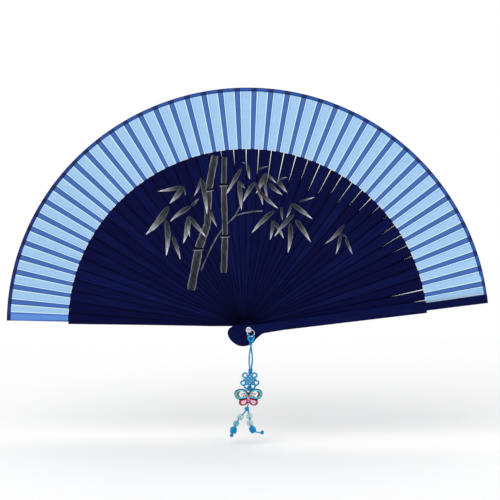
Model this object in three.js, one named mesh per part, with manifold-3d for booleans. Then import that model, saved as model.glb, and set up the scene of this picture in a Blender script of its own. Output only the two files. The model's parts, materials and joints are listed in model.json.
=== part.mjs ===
// A folding hand fan, standing open: two guards and forty-three ribs turn on one rivet, a pleated
// silk leaf with a bound edge joins their thin outer strips, and a knotted cord charm hangs from a
// ring on the rivet's head.
//
// Millimetres, +Z up. The fan's plane is XZ and its front faces -Y. The origin is on the rivet's
// axis, halfway through the stack of sticks. Stick 0 is the back guard, the last is the front one.

import * as THREE from 'three';
import { mergeVertices } from 'three/addons/utils/BufferGeometryUtils.js';
import Module from 'manifold-3d';

const wasm = await Module();
wasm.setup();

// The spread and the stack
const RIB_COUNT = 43;
const LAST_STICK = RIB_COUNT + 1;
const BACK_GUARD_ANGLE = THREE.MathUtils.degToRad(178.0);
const FRONT_GUARD_ANGLE = THREE.MathUtils.degToRad(6.95);
const MID_SPREAD = 0.04; // the middle gaps are this much wider than the mean one
const RIB_PITCH = 0.74;
const RIB_THICKNESS = 0.46;
const GUARD_THICKNESS = 2.4;
const GUARD_GAP = 0.35; // between a guard and the rib beside it

// The sticks' outline, along and across the stick from the rivet
const STICK_LENGTH = 193;
const SHOULDER_RADIUS = 143.5;
const RIB_HEAD_RADIUS = 6.6;
const RIB_NECK_HALF = 3.5;
const RIB_NECK_RADIUS = 14;
const RIB_SHOULDER_HALF_WIDE = 4.8; // on the back half of the fan
const RIB_SHOULDER_HALF_SLIM = 4.5; // on the front half, where light shows between the slats
const RIB_STRIP_HALF_INNER = 1.7;
const RIB_STRIP_HALF_OUTER = 2.1;
const RIB_TIP_RADIUS = 192.2;
const GUARD_NECK_HALF = 3.3;
const GUARD_SHOULDER_HALF = 5.0;
const GUARD_STRIP_HALF_INNER = 3.1;
const GUARD_STRIP_HALF_OUTER = 3.35;
const GUARD_HEAD_LINE = [
  [0, 4.1],
  [-7, 5.0],
  [-12.2, 4.4],
  [-16.2, 1.8],
  [-17, -2.4],
  [-14.5, -7.6],
  [-9.8, -11.6],
  [-4.5, -12.8],
  [1.5, -11.4],
  [6, -7.4],
  [11, -4.4],
];

// The rivet
const SHAFT_RADIUS = 1.25;
const HOLE_RADIUS = 1.55;
const HEAD_RADIUS = 2.5;
const HEAD_HEIGHT = 1.1;
const HEAD_GAP = 0.3;
const EYE_RADIUS = 1.15; // to the middle of the eye's wire
const EYE_WIRE_RADIUS = 0.4;

// The leaf
const LEAF_THICKNESS = 0.09;
const LEAF_INNER_RADIUS = 143.8;
const LEAF_OUTER_RADIUS = 189.9;
const LEAF_SETBACK = 0.08; // from a rib's front face to the silk
const BINDING_INNER_RADIUS = 190.2;
const BINDING_THICKNESS = 0.12;
const CREASE_ANGLE = THREE.MathUtils.degToRad(0.96); // each side of a stick's middle line

// The charm, hanging in front of the fan. Places are [x, z].
const CORD_RADIUS = 0.62;
const RING_RADIUS = 2.75;
const RING_WIRE_RADIUS = 0.38;
const RING_CENTRE = [1.61, -2.23];
const KNOT_CENTRE = [0.7, -40.2];
const KNOT_HALF_WIDTH = 7.4;
const KNOT_HALF_HEIGHT = 7.8;
const KNOT_THICKNESS = 2.6;
const BUTTERFLY_CENTRE = [-0.4, -54.4];
const BUTTERFLY_THICKNESS = 1.6;
const COLLAR_CENTRE = [-1.5, -63.9];
const COLLAR_RADIUS = 2;
const BEAD_HOLE_RADIUS = 0.95;
const BEAD_END_RADIUS = 1.5;
const KNOT_BEAD_RADIUS = 2.9;
const END_KNOT_RADIUS = 1.6;
const STRAND_GAP = 0.3; // between pieces that touch

const LACQUER = { color: 0x0d0f3e, roughness: 0.32, metalness: 0 };
const SILK = { color: 0xa9cff2, roughness: 0.7, metalness: 0 };
const BINDING = { color: 0x2f5db0, roughness: 0.75, metalness: 0 };
const NICKEL = { color: 0xb9bcc2, roughness: 0.25, metalness: 1 };
const CORD = { color: 0x1fa0e0, roughness: 0.6, metalness: 0 };
const ENAMEL = { color: 0x22b8cf, roughness: 0.25, metalness: 0.1 };
const CLEAR_BEAD = { color: 0xcdeff5, roughness: 0.08, metalness: 0 };
const AQUA_BEAD = { color: 0x5cc8d8, roughness: 0.12, metalness: 0 };

const fan = new THREE.Group();

function addPart(name, geometry, finish, group = fan) {
  const mesh = new THREE.Mesh(geometry, new THREE.MeshStandardMaterial(finish));
  mesh.name = name;
  group.add(mesh);
  return mesh;
}

// --- helpers ---

function toSolid(geometry) {
  const bare = geometry.clone();
  bare.deleteAttribute('normal');
  bare.deleteAttribute('uv');
  const merged = mergeVertices(bare, 1e-4);
  return new wasm.Manifold(
    new wasm.Mesh({
      numProp: 3,
      vertProperties: new Float32Array(merged.attributes.position.array),
      triVerts: new Uint32Array(merged.index.array),
    }),
  );
}

function toGeometry(solid) {
  const mesh = solid.getMesh();
  const geometry = new THREE.BufferGeometry();
  geometry.setAttribute('position', new THREE.BufferAttribute(mesh.vertProperties, 3));
  geometry.setIndex(new THREE.BufferAttribute(mesh.triVerts, 1));
  geometry.computeVertexNormals();
  return geometry;
}

// A closed body from rings of points that all have the same count, capped at both ends.
function loft(rings) {
  const count = rings[0].length;
  const position = rings.flat().flatMap((p) => [p.x, p.y, p.z]);
  const index = [];
  for (let ring = 0; ring < rings.length - 1; ring += 1) {
    for (let k = 0; k < count; k += 1) {
      const next = (k + 1) % count;
      const a = ring * count + k;
      const b = ring * count + next;
      index.push(a, b, b + count, a, b + count, a + count);
    }
  }
  const end = (rings.length - 1) * count;
  for (let k = 1; k < count - 1; k += 1) {
    index.push(0, k + 1, k);
    index.push(end, end + k, end + k + 1);
  }
  const geometry = new THREE.BufferGeometry();
  geometry.setAttribute('position', new THREE.Float32BufferAttribute(position, 3));
  geometry.setIndex(index);
  geometry.computeVertexNormals();
  return geometry;
}

function tube(points, radius, sides, steps) {
  const path = new THREE.CatmullRomCurve3(points, false, 'centripetal');
  const section = new THREE.Shape();
  section.absarc(0, 0, radius, 0, Math.PI * 2);
  return new THREE.ExtrudeGeometry(section, {
    extrudePath: path,
    steps,
    curveSegments: sides / 2,
    bevelEnabled: false,
  });
}

function stickAngle(stick) {
  const share = stick / LAST_STICK;
  const swell = (MID_SPREAD * Math.sin(2 * Math.PI * share)) / (2 * Math.PI);
  return BACK_GUARD_ANGLE + (FRONT_GUARD_ANGLE - BACK_GUARD_ANGLE) * (share - swell);
}

// The middle of a rib's thickness. The last rib is nearest the front.
function ribDepth(stick) {
  return ((RIB_COUNT + 1) / 2 - stick) * RIB_PITCH;
}

const STACK_HALF = ribDepth(1) + RIB_THICKNESS / 2 + GUARD_GAP; // to a guard's inner face
const FRONT_FACE = -(STACK_HALF + GUARD_THICKNESS);
const CHARM_DEPTH = FRONT_FACE - HEAD_GAP - HEAD_HEIGHT - EYE_RADIUS;

// Extrudes a stick's outline and turns it into the fan's plane. It lies along +X before it is
// turned, with its back face at y = back.
function placeStick(shape, thickness, back, angle) {
  const geometry = new THREE.ExtrudeGeometry(shape, {
    depth: thickness,
    bevelEnabled: false,
    curveSegments: 5,
  });
  geometry.rotateX(Math.PI / 2);
  geometry.translate(0, back, 0);
  geometry.rotateY(-angle);
  return geometry;
}

function addPivotHole(shape) {
  const hole = new THREE.Path();
  hole.absarc(0, 0, HOLE_RADIUS, 0, Math.PI * 2, true);
  shape.holes.push(hole);
}

// --- sticks ---

function ribOutline(stick) {
  const slim = THREE.MathUtils.smoothstep(stick, 16, 26);
  const shoulder = THREE.MathUtils.lerp(RIB_SHOULDER_HALF_WIDE, RIB_SHOULDER_HALF_SLIM, slim);
  const neckTurn = Math.asin(RIB_NECK_HALF / RIB_HEAD_RADIUS);
  const shape = new THREE.Shape();
  shape.moveTo(RIB_NECK_RADIUS, -RIB_NECK_HALF);
  shape.lineTo(SHOULDER_RADIUS, -shoulder);
  shape.lineTo(SHOULDER_RADIUS, -RIB_STRIP_HALF_INNER);
  shape.lineTo(RIB_TIP_RADIUS, -RIB_STRIP_HALF_OUTER);
  shape.lineTo(RIB_TIP_RADIUS, RIB_STRIP_HALF_OUTER);
  shape.lineTo(SHOULDER_RADIUS, RIB_STRIP_HALF_INNER);
  shape.lineTo(SHOULDER_RADIUS, shoulder);
  shape.lineTo(RIB_NECK_RADIUS, RIB_NECK_HALF);
  shape.absarc(0, 0, RIB_HEAD_RADIUS, neckTurn, 2 * Math.PI - neckTurn);
  addPivotHole(shape);
  return shape;
}

function guardOutline() {
  const shape = new THREE.Shape();
  shape.moveTo(28, -3.8);
  shape.lineTo(SHOULDER_RADIUS - 24, -4.45);
  shape.lineTo(SHOULDER_RADIUS, -GUARD_SHOULDER_HALF);
  shape.lineTo(SHOULDER_RADIUS, -GUARD_STRIP_HALF_INNER);
  shape.lineTo(STICK_LENGTH, -GUARD_STRIP_HALF_OUTER);
  shape.lineTo(STICK_LENGTH, GUARD_STRIP_HALF_OUTER);
  shape.lineTo(SHOULDER_RADIUS, GUARD_STRIP_HALF_INNER);
  shape.lineTo(SHOULDER_RADIUS, GUARD_SHOULDER_HALF);
  shape.lineTo(SHOULDER_RADIUS - 24, 4.45);
  shape.lineTo(28, 3.8);
  shape.lineTo(10, GUARD_NECK_HALF);
  shape.splineThru(GUARD_HEAD_LINE.map(([u, v]) => new THREE.Vector2(u, v)));
  addPivotHole(shape);
  return shape;
}

function addRibs() {
  for (let stick = 1; stick <= RIB_COUNT; stick += 1) {
    const back = ribDepth(stick) + RIB_THICKNESS / 2;
    const geometry = placeStick(ribOutline(stick), RIB_THICKNESS, back, stickAngle(stick));
    addPart(`rib_${String(stick).padStart(2, '0')}`, geometry, LACQUER);
  }
}

function addGuards() {
  const back = STACK_HALF + GUARD_THICKNESS;
  addPart('guard_back', placeStick(guardOutline(), GUARD_THICKNESS, back, stickAngle(0)), LACQUER);
  const front = placeStick(guardOutline(), GUARD_THICKNESS, -STACK_HALF, stickAngle(LAST_STICK));
  addPart('guard_front', front, LACQUER);
}

// --- rivet ---

// The shaft runs through the stack to the back cap. The head has an eye that the ring hangs in.
function addRivet() {
  const headBase = -FRONT_FACE + HEAD_GAP;
  const tail = FRONT_FACE - HEAD_GAP;
  const profile = [
    [0, tail],
    [SHAFT_RADIUS, tail],
    [SHAFT_RADIUS, headBase],
    [HEAD_RADIUS, headBase],
    [HEAD_RADIUS, headBase + 0.4 * HEAD_HEIGHT],
    [0.7 * HEAD_RADIUS, headBase + 0.85 * HEAD_HEIGHT],
    [0, headBase + HEAD_HEIGHT],
  ].map(([r, h]) => new THREE.Vector2(r, h));
  const body = new THREE.LatheGeometry(profile, 12);
  body.rotateX(Math.PI);
  const eye = new THREE.TorusGeometry(EYE_RADIUS, EYE_WIRE_RADIUS, 8, 16);
  eye.rotateY(Math.PI / 2);
  eye.rotateY(-Math.atan2(RING_CENTRE[0], -RING_CENTRE[1]));
  eye.translate(0, CHARM_DEPTH, 0);
  addPart('rivet', toGeometry(toSolid(body).add(toSolid(eye))), NICKEL);
}

// The peened cap that closes the rivet behind the back guard
function addRivetCap() {
  const profile = [
    [0, 0],
    [HEAD_RADIUS, 0],
    [HEAD_RADIUS, 0.4 * HEAD_HEIGHT],
    [0.7 * HEAD_RADIUS, 0.85 * HEAD_HEIGHT],
    [0, HEAD_HEIGHT],
  ].map(([r, h]) => new THREE.Vector2(r, h));
  const cap = new THREE.LatheGeometry(profile, 12);
  cap.translate(0, -FRONT_FACE + 2 * HEAD_GAP, 0);
  addPart('rivet_cap', cap, NICKEL);
}

// --- leaf ---

// The silk's front surface follows the sticks: flat across each one, sloping between them.
function leafDepth(stick) {
  if (stick === 0) return STACK_HALF - LEAF_SETBACK;
  if (stick === LAST_STICK) return -STACK_HALF + LEAF_SETBACK + 2 * LEAF_THICKNESS;
  return ribDepth(stick) - RIB_THICKNESS / 2 - LEAF_SETBACK;
}

// The crease lines from the back guard round to the front one, as [angle, depth]
function creaseLines() {
  const lines = [];
  for (let stick = 0; stick <= LAST_STICK; stick += 1) {
    const outer = stick === 0 || stick === LAST_STICK;
    const reach = outer ? 1.05 * CREASE_ANGLE : CREASE_ANGLE;
    lines.push([stickAngle(stick) + reach, leafDepth(stick)]);
    lines.push([stickAngle(stick) - reach, leafDepth(stick)]);
  }
  return lines;
}

// A pleated band between two radii, as one closed body
function pleatedBand(inner, outer, thickness) {
  const rings = creaseLines().map(([angle, depth]) => {
    const at = (radius, y) =>
      new THREE.Vector3(radius * Math.cos(angle), y, radius * Math.sin(angle));
    const front = depth - thickness;
    return [at(inner, depth), at(outer, depth), at(outer, front), at(inner, front)];
  });
  return loft(rings);
}

function addLeaf() {
  addPart('silk_leaf', pleatedBand(LEAF_INNER_RADIUS, LEAF_OUTER_RADIUS, LEAF_THICKNESS), SILK);
  addPart('edge_binding', pleatedBand(BINDING_INNER_RADIUS, STICK_LENGTH, BINDING_THICKNESS), BINDING);
}

// --- charm ---

const charm = new THREE.Group();
charm.position.y = CHARM_DEPTH;
fan.add(charm);

function flat([x, z], y = 0) {
  return new THREE.Vector3(x, y, z);
}

function addRing() {
  const ring = new THREE.TorusGeometry(RING_RADIUS, RING_WIRE_RADIUS, 8, 24);
  ring.rotateX(Math.PI / 2);
  addPart('hanging_ring', ring, NICKEL, charm).position.copy(flat(RING_CENTRE));
}

// One loop of cord: up from the knot, over the ring's lowest wire and down again.
function addHangerCord() {
  const [ringX, ringZ] = RING_CENTRE;
  const low = ringZ - RING_RADIUS;
  const turn = RING_WIRE_RADIUS + STRAND_GAP + CORD_RADIUS;
  const knotTop = KNOT_CENTRE[1] + KNOT_HALF_HEIGHT + STRAND_GAP;
  const points = [
    flat([1.0, knotTop], -1.1),
    flat([0.5, -24], -1.2),
    flat([1.6, -14], -1.3),
    flat([ringX, low - 3], -turn),
    flat([ringX, low], -turn),
    flat([ringX, low + turn]),
    flat([ringX, low], turn),
    flat([ringX, low - 3], turn),
    flat([2.3, -14], 0.9),
    flat([2.8, -24], 0.8),
    flat([1.9, knotTop], 0.9),
  ];
  addPart('hanger_cord', tube(points, CORD_RADIUS, 8, 60), CORD, charm);
}

// A flat woven diamond with small lobes of cord along its sides
function addCharmKnot() {
  const shape = new THREE.Shape();
  const lobes = 8;
  const steps = 48;
  for (let k = 0; k < steps; k += 1) {
    const turn = (2 * Math.PI * k) / steps;
    const across = Math.cos(turn);
    const up = Math.sin(turn);
    const diamond = (Math.abs(across) ** 1.4 + Math.abs(up) ** 1.4) ** (-1 / 1.4);
    const radius = diamond * (0.95 + 0.05 * Math.cos(lobes * turn));
    const x = KNOT_HALF_WIDTH * radius * across;
    const y = KNOT_HALF_HEIGHT * radius * up;
    if (k === 0) shape.moveTo(x, y);
    else shape.lineTo(x, y);
  }
  const knot = new THREE.ExtrudeGeometry(shape, { depth: KNOT_THICKNESS, bevelEnabled: false });
  knot.translate(0, 0, -KNOT_THICKNESS / 2);
  knot.rotateX(Math.PI / 2);
  addPart('charm_knot', knot, CORD, charm).position.copy(flat(KNOT_CENTRE));
}

// Two upper and two lower wings in one plate
function addButterfly() {
  const half = [
    [0, 4.4],
    [2.4, 6.4],
    [6.6, 7.2],
    [10.6, 5.4],
    [11.4, 2],
    [9.4, -1.2],
    [7.2, -2],
    [7.4, -4.6],
    [5.6, -6.6],
    [2.4, -6.4],
    [0, -4.2],
  ];
  const shape = new THREE.Shape();
  shape.moveTo(0, -4.2);
  shape.splineThru(half.slice(0, -1).reverse().map(([x, y]) => new THREE.Vector2(x, y)));
  shape.splineThru(half.slice(1).map(([x, y]) => new THREE.Vector2(-x, y)));
  const plate = new THREE.ExtrudeGeometry(shape, {
    depth: BUTTERFLY_THICKNESS,
    bevelEnabled: false,
    curveSegments: 2,
  });
  plate.translate(0, 0, -BUTTERFLY_THICKNESS / 2);
  plate.rotateX(Math.PI / 2);
  addPart('butterfly_charm', plate, ENAMEL, charm).position.copy(flat(BUTTERFLY_CENTRE));
}

function ball(radius, sides = 10) {
  return new THREE.SphereGeometry(radius, sides, 6);
}

function addCollar() {
  addPart('collar_bead', ball(COLLAR_RADIUS), CORD, charm).position.copy(flat(COLLAR_CENTRE));
}

// A round bead with a straight hole, turned so that its hole lies along the cord.
function addBead(name, centre, direction, radius, finish) {
  const mouth = Math.asin(BEAD_END_RADIUS / radius);
  const profile = [];
  const steps = 6;
  for (let k = 0; k <= steps; k += 1) {
    const turn = mouth + ((Math.PI - 2 * mouth) * k) / steps;
    profile.push(new THREE.Vector2(radius * Math.sin(turn), -radius * Math.cos(turn)));
  }
  const end = radius * Math.cos(mouth);
  profile.push(new THREE.Vector2(BEAD_HOLE_RADIUS, end));
  profile.push(new THREE.Vector2(BEAD_HOLE_RADIUS, -end));
  profile.push(profile[0].clone());
  const mesh = addPart(name, new THREE.LatheGeometry(profile, 10), finish, charm);
  mesh.position.copy(flat(centre));
  mesh.quaternion.setFromUnitVectors(new THREE.Vector3(0, 1, 0), direction);
}

// A tail of cord from the collar through its beads, with a bead-shaped knot and an end knot tied in
// the cord itself
function addTail(side, start, beads, knot, end) {
  const path = [start, ...beads.map((bead) => bead.at), knot, end].map((p) => flat(p));
  const cord = toSolid(tube(path, CORD_RADIUS, 8, 26));
  const fat = ball(KNOT_BEAD_RADIUS);
  fat.translate(knot[0], 0, knot[1]);
  const small = ball(END_KNOT_RADIUS, 8);
  small.translate(end[0], 0, end[1]);
  const solid = cord.add(toSolid(fat)).add(toSolid(small));
  addPart(`tail_cord_${side}`, toGeometry(solid), CORD, charm);
  const curve = new THREE.CatmullRomCurve3(path, false, 'centripetal');
  beads.forEach((bead, k) => {
    const direction = curve.getTangent((k + 1) / (path.length - 1));
    addBead(`bead_${side}_${bead.name}`, bead.at, direction, bead.radius, bead.finish);
  });
}

function addTails() {
  const [collarX, collarZ] = COLLAR_CENTRE;
  const leftBeads = [
    { name: 'upper', at: [-6.8, -70.3], radius: 2.7, finish: CLEAR_BEAD },
    { name: 'lower', at: [-10.3, -75.6], radius: 2.35, finish: AQUA_BEAD },
  ];
  const rightBeads = [
    { name: 'upper', at: [0.3, -69.6], radius: 2.5, finish: CLEAR_BEAD },
    { name: 'lower', at: [0.9, -75.2], radius: 2.6, finish: CLEAR_BEAD },
  ];
  const leave = COLLAR_RADIUS + STRAND_GAP;
  addTail('left', [collarX - 0.72 * leave, collarZ - 0.72 * leave], leftBeads, [-12.4, -81], [-13.9, -85.2]);
  addTail('right', [collarX + 0.3 * leave, collarZ - 0.98 * leave], rightBeads, [3, -80.6], [10.6, -83]);
}

addGuards();
addRibs();
addRivet();
addRivetCap();
addLeaf();
addRing();
addHangerCord();
addCharmKnot();
addButterfly();
addCollar();
addTails();

export default fan;
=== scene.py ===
"""A folding fan of lacquered slats with a pleated silk leaf and a knotted cord charm.

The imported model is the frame. Every piece here is laid out from it, in metres, and moves with one
of its bodies. The fan's plane is XZ, its front faces -Y and the rivet's axis is the Y axis.
"""

import json
import math
import random
from collections import namedtuple

import bmesh
import bpy
from mathutils import Matrix, Vector


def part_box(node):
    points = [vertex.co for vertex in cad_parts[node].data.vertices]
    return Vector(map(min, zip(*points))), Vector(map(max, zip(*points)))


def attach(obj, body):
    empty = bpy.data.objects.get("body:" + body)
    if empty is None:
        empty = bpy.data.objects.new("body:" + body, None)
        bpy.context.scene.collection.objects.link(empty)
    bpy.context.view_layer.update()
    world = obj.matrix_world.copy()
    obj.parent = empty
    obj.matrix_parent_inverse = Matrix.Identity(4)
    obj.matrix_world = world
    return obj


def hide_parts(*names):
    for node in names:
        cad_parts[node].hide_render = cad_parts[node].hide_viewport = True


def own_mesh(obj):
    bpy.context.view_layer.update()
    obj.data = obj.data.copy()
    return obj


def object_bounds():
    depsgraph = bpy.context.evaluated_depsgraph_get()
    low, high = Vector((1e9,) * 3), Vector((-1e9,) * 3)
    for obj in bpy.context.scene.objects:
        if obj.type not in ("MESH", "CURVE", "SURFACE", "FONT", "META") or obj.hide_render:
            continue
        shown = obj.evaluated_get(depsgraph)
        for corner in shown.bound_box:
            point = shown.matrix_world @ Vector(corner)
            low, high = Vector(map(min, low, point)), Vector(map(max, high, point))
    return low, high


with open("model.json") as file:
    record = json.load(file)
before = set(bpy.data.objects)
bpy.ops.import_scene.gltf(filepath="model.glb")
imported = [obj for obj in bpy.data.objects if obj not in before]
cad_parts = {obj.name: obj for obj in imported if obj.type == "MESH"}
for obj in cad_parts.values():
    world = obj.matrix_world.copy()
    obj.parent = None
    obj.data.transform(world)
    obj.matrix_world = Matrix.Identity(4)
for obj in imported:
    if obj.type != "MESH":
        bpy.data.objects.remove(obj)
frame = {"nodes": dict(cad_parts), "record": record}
CAD_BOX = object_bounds()

bl_info = {
    "name": "Slat Fan Builder",
    "version": (1, 0, 0),
    "blender": (4, 5, 0),
    "location": "View3D > Sidebar > Fan",
    "description": "Builds a folding slat fan with a silk leaf and a cord charm",
    "category": "Add Mesh",
}

MM = 0.001
DEGREE = math.pi / 180

# The sticks' outline, along and across the stick from the rivet
SHOULDER_RADIUS = 143.5 * MM
HEAD_RADIUS = 6.6 * MM
NECK_HALF = 3.5 * MM
NECK_RADIUS = 14 * MM
STRIP_INNER_HALF = 1.7 * MM
STRIP_OUTER_HALF = 2.1 * MM
PIVOT_HOLE_RADIUS = 1.55 * MM
LAST_SLAT_GAP = 0.55 * MM  # the slat beside the front guard is this much slimmer
SLIM_FROM, SLIM_AFTER = 19, 23  # the slats grow slimmer from one of these sticks to the other
GUARD_NECK_HALF = 3.3 * MM
GUARD_FLARE = 1.7 * MM  # how much wider a guard's half width is at its shoulder
GUARD_EDGE_SHADE_SHARE = 0.8  # keeps the lacquer's painted edge shade off the guards
WELD = 1e-6  # points this close are one point

# The leaf and the tape bound over its edge
LEAF_INNER_RADIUS = 143.8 * MM
LEAF_OUTER_RADIUS = 190.6 * MM
BINDING_INNER_RADIUS = 190.0 * MM
BINDING_OUTER_RADIUS = 193.0 * MM
LEAF_SETBACK = 0.08 * MM
LAST_RIB_SETBACK = 0.4 * LEAF_SETBACK
FRONT_GUARD_SETBACK = 2.1 * LEAF_SETBACK
CREASE_ANGLE = 0.96 * DEGREE
END_REACH = 1.05  # the leaf's free ends reach this much past a guard's crease
LAST_SQUEEZE = 0.19  # share of the ripple and of the tape's thickness left on the last two sticks
RIB_STRIPE_HALF = 0.65 * DEGREE
GUARD_STRIPE_HALF = 1.12 * DEGREE

# The rivet, its eye and the ring
SHAFT_RADIUS = 1.25 * MM
RIVET_HEAD_RADIUS = 2.5 * MM
RIVET_HEAD_HEIGHT = 1.1 * MM
HEAD_GAP = 0.3 * MM
EYE_RADIUS = 1.15 * MM
EYE_WIRE_RADIUS = 0.4 * MM
RING_RADIUS = 2.75 * MM
RING_WIRE_RADIUS = 0.38 * MM
RING_CENTRE = (1.61, -2.23)
RIVET_SIDES = 32
HOOP_STEPS = 48

# The charm, with its places as (x, z) from the rivet in millimetres
CORD_RADIUS = 0.62 * MM
TAIL_RADIUS = 0.9 * CORD_RADIUS
KNOT_CENTRE = (0.7, -40.2)
BUTTERFLY_CENTRE = (-0.4, -54.4)
COLLAR_CENTRE = (-1.5, -63.9)
LEFT_KNOT = (-12.4, -81.0)
LEFT_END = (-13.9, -85.2)
RIGHT_KNOT = (3.0, -80.6)
RIGHT_END = (10.6, -83.0)

Stick = namedtuple("Stick", "number node body angle depth thickness")


# --- layout taken from the frame ---


def mount_angle(name):
    """The angle of the stick whose flat face this mount is on."""
    mounts = {mount["name"]: mount for mount in frame["record"]["mounts"]}
    x, _, z = mounts[name]["pos_m"]
    return math.atan2(z, x)


def read_sticks():
    """Every stick from the back guard to the front one."""
    back, front = mount_angle("back_guard_face"), mount_angle("front_guard_face")
    couplings = frame["record"]["behaviour"]["couplings"]
    shares = {row["joint"]: row["ratio"] for row in couplings}
    ribs = sorted(name for name in frame["nodes"] if name.startswith("rib_"))
    rows = [("guard_back", "root", back)]
    rows += [(name, name, back - shares[f"{name}_turn"] * (back - front)) for name in ribs]
    rows.append(("guard_front", "front_guard", front))
    sticks = []
    for number, (node, body, angle) in enumerate(rows):
        low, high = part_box(node)
        sticks.append(Stick(number, node, body, angle, (low.y + high.y) / 2, high.y - low.y))
    return sticks


STICKS = read_sticks()
FRONT_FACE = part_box("guard_front")[0].y
BACK_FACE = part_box("guard_back")[1].y
CHARM_DEPTH = FRONT_FACE - HEAD_GAP - RIVET_HEAD_HEIGHT - EYE_RADIUS


def leaf_depth(stick):
    """How deep the silk's back lies: in front of its stick, but behind the front guard."""
    if stick is STICKS[-1]:
        return stick.depth + stick.thickness / 2 + FRONT_GUARD_SETBACK
    setback = LAST_RIB_SETBACK if stick is STICKS[-2] else LEAF_SETBACK
    return stick.depth - stick.thickness / 2 - setback


def in_charm(x, z, y=0.0):
    """A point of the charm, from millimetres across and down from the rivet."""
    return Vector((x * MM, CHARM_DEPTH + y * MM, z * MM))


# --- settings ---


def length_setting(name, description, default):
    """A size that can be changed in the sidebar."""
    return bpy.props.FloatProperty(
        name=name, description=description, default=default, unit="LENGTH"
    )


def colour_setting(name, description, default):
    """A colour that can be changed in the sidebar."""
    return bpy.props.FloatVectorProperty(
        name=name, description=description, default=default, size=3, subtype="COLOR", min=0, max=1
    )


class FanSizes(bpy.types.PropertyGroup):
    """The sizes of the look that the CAD leaves open"""

    wide_shoulder: length_setting("Wide shoulder", "Half width of the slats on the back half", 5.05 * MM)
    slim_shoulder: length_setting("Slim shoulder", "Half width of the slats on the front half", 4.75 * MM)
    shoulder_scatter: length_setting("Shoulder scatter", "How much hand-cut shoulders differ", 0.12 * MM)
    neck_scatter: length_setting("Neck scatter", "How much slimmer a hand-cut neck may be", 1.0 * MM)
    slat_edge: length_setting("Slat edge", "Rounding of a slat's long edges", 0.09 * MM)
    guard_edge: length_setting("Guard edge", "Rounding of a guard's edges", 0.45 * MM)
    silk_thickness: length_setting("Silk thickness", "Thickness of the pleated silk", 0.09 * MM)
    silk_ripple: length_setting("Silk ripple", "Height of the silk's soft ripples", 0.07 * MM)
    tape_thickness: length_setting("Tape thickness", "Thickness of the bound edge", 0.36 * MM)


class FanColours(bpy.types.PropertyGroup):
    """The main colour of each finish"""

    lacquer: colour_setting("Lacquer", "Deep navy of the sticks", (0.0016, 0.0022, 0.031))
    lacquer_grain: colour_setting("Lacquer grain", "Streaks in the lacquer", (0.0050, 0.0110, 0.095))
    silk: colour_setting("Silk", "Pale blue of the open silk", (0.385, 0.625, 0.90))
    silk_stripe: colour_setting("Silk stripe", "Silk with a rib behind it", (0.046, 0.135, 0.46))
    tape: colour_setting("Tape", "Blue of the bound edge", (0.026, 0.105, 0.45))
    paint: colour_setting("Paint", "The brushwork's white", (0.80, 0.84, 0.88))
    cord: colour_setting("Cord", "Blue of the charm's cord", (0.001, 0.30, 0.66))


# --- node trees ---


class NodeMaker:
    """Adds nodes to a tree and joins them up."""

    def __init__(self, tree):
        self.tree = tree

    def put(self, socket, value):
        """Sets a socket to a plain value, or joins it to another node's socket."""
        if isinstance(value, bpy.types.NodeSocket):
            self.tree.links.new(value, socket)
        else:
            socket.default_value = value

    def fill(self, sockets, values):
        """Sets several of a node's sockets by their names."""
        for label, value in values.items():
            self.put(sockets[label], value)

    def add(self, kind, inputs=None, **settings):
        """A new node with its settings made and its inputs set or joined."""
        node = self.tree.nodes.new(kind)
        for key, value in settings.items():
            setattr(node, key, value)
        self.fill(node.inputs, inputs or {})
        return node

    def math(self, operation, *values, clamp=False):
        """The result of one sum on plain numbers or sockets."""
        node = self.add("ShaderNodeMath", operation=operation, use_clamp=clamp)
        for index, value in enumerate(values):
            self.put(node.inputs[index], value)
        return node.outputs[0]

    def blend(self, share, first, second):
        """A number between two others."""
        node = self.add("ShaderNodeMix", {0: share, 2: first, 3: second}, data_type="FLOAT")
        return node.outputs[0]

    def tint(self, share, first, second):
        """A colour between two others."""
        node = self.add("ShaderNodeMix", {0: share}, data_type="RGBA")
        for index, value in ((6, first), (7, second)):
            self.put(node.inputs[index], opaque(value))
        return node.outputs[2]

    def ramp(self, value, low, high, to_low=0.0, to_high=1.0):
        """value carried from low..high to to_low..to_high, smoothly, and held past the ends."""
        places = {"Value": value, 1: low, 2: high, 3: to_low, 4: to_high}
        return self.add("ShaderNodeMapRange", places, interpolation_type="SMOOTHSTEP").outputs[0]

    def point(self, x=0.0, y=0.0, z=0.0):
        """Three numbers joined into a vector."""
        return self.add("ShaderNodeCombineXYZ", {0: x, 1: y, 2: z}).outputs[0]

    def split(self, vector):
        """A vector's three numbers."""
        return self.add("ShaderNodeSeparateXYZ", {0: vector}).outputs

    def noise(self, vector, scale, detail=3.0, roughness=0.55):
        """Smooth noise, mostly between 0.3 and 0.7."""
        inputs = {"Vector": vector, "Scale": scale, "Detail": detail, "Roughness": roughness}
        return self.add("ShaderNodeTexNoise", inputs).outputs[0]


def opaque(colour):
    """A colour with its fourth number, or a socket as it is."""
    if isinstance(colour, bpy.types.NodeSocket) or len(colour) == 4:
        return colour
    return (*colour, 1.0)


def new_tree(name, kind, inputs, outputs):
    """An empty node group with named sockets. inputs holds (name, socket kind, default)."""
    tree = bpy.data.node_groups.new(name, kind)
    for label, socket, default in inputs:
        made = tree.interface.new_socket(label, in_out="INPUT", socket_type=f"NodeSocket{socket}")
        if default is not None:
            made.default_value = default
    for label, socket in outputs:
        tree.interface.new_socket(label, in_out="OUTPUT", socket_type=f"NodeSocket{socket}")
    make = NodeMaker(tree)
    return tree, make, make.add("NodeGroupInput").outputs


def finish_tree(make, **results):
    """Joins a group's results to its output node."""
    make.fill(make.add("NodeGroupOutput").inputs, results)


def tree_named(name, build):
    """The node group of that name, built the first time it is asked for."""
    return bpy.data.node_groups.get(name) or build(name)


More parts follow.
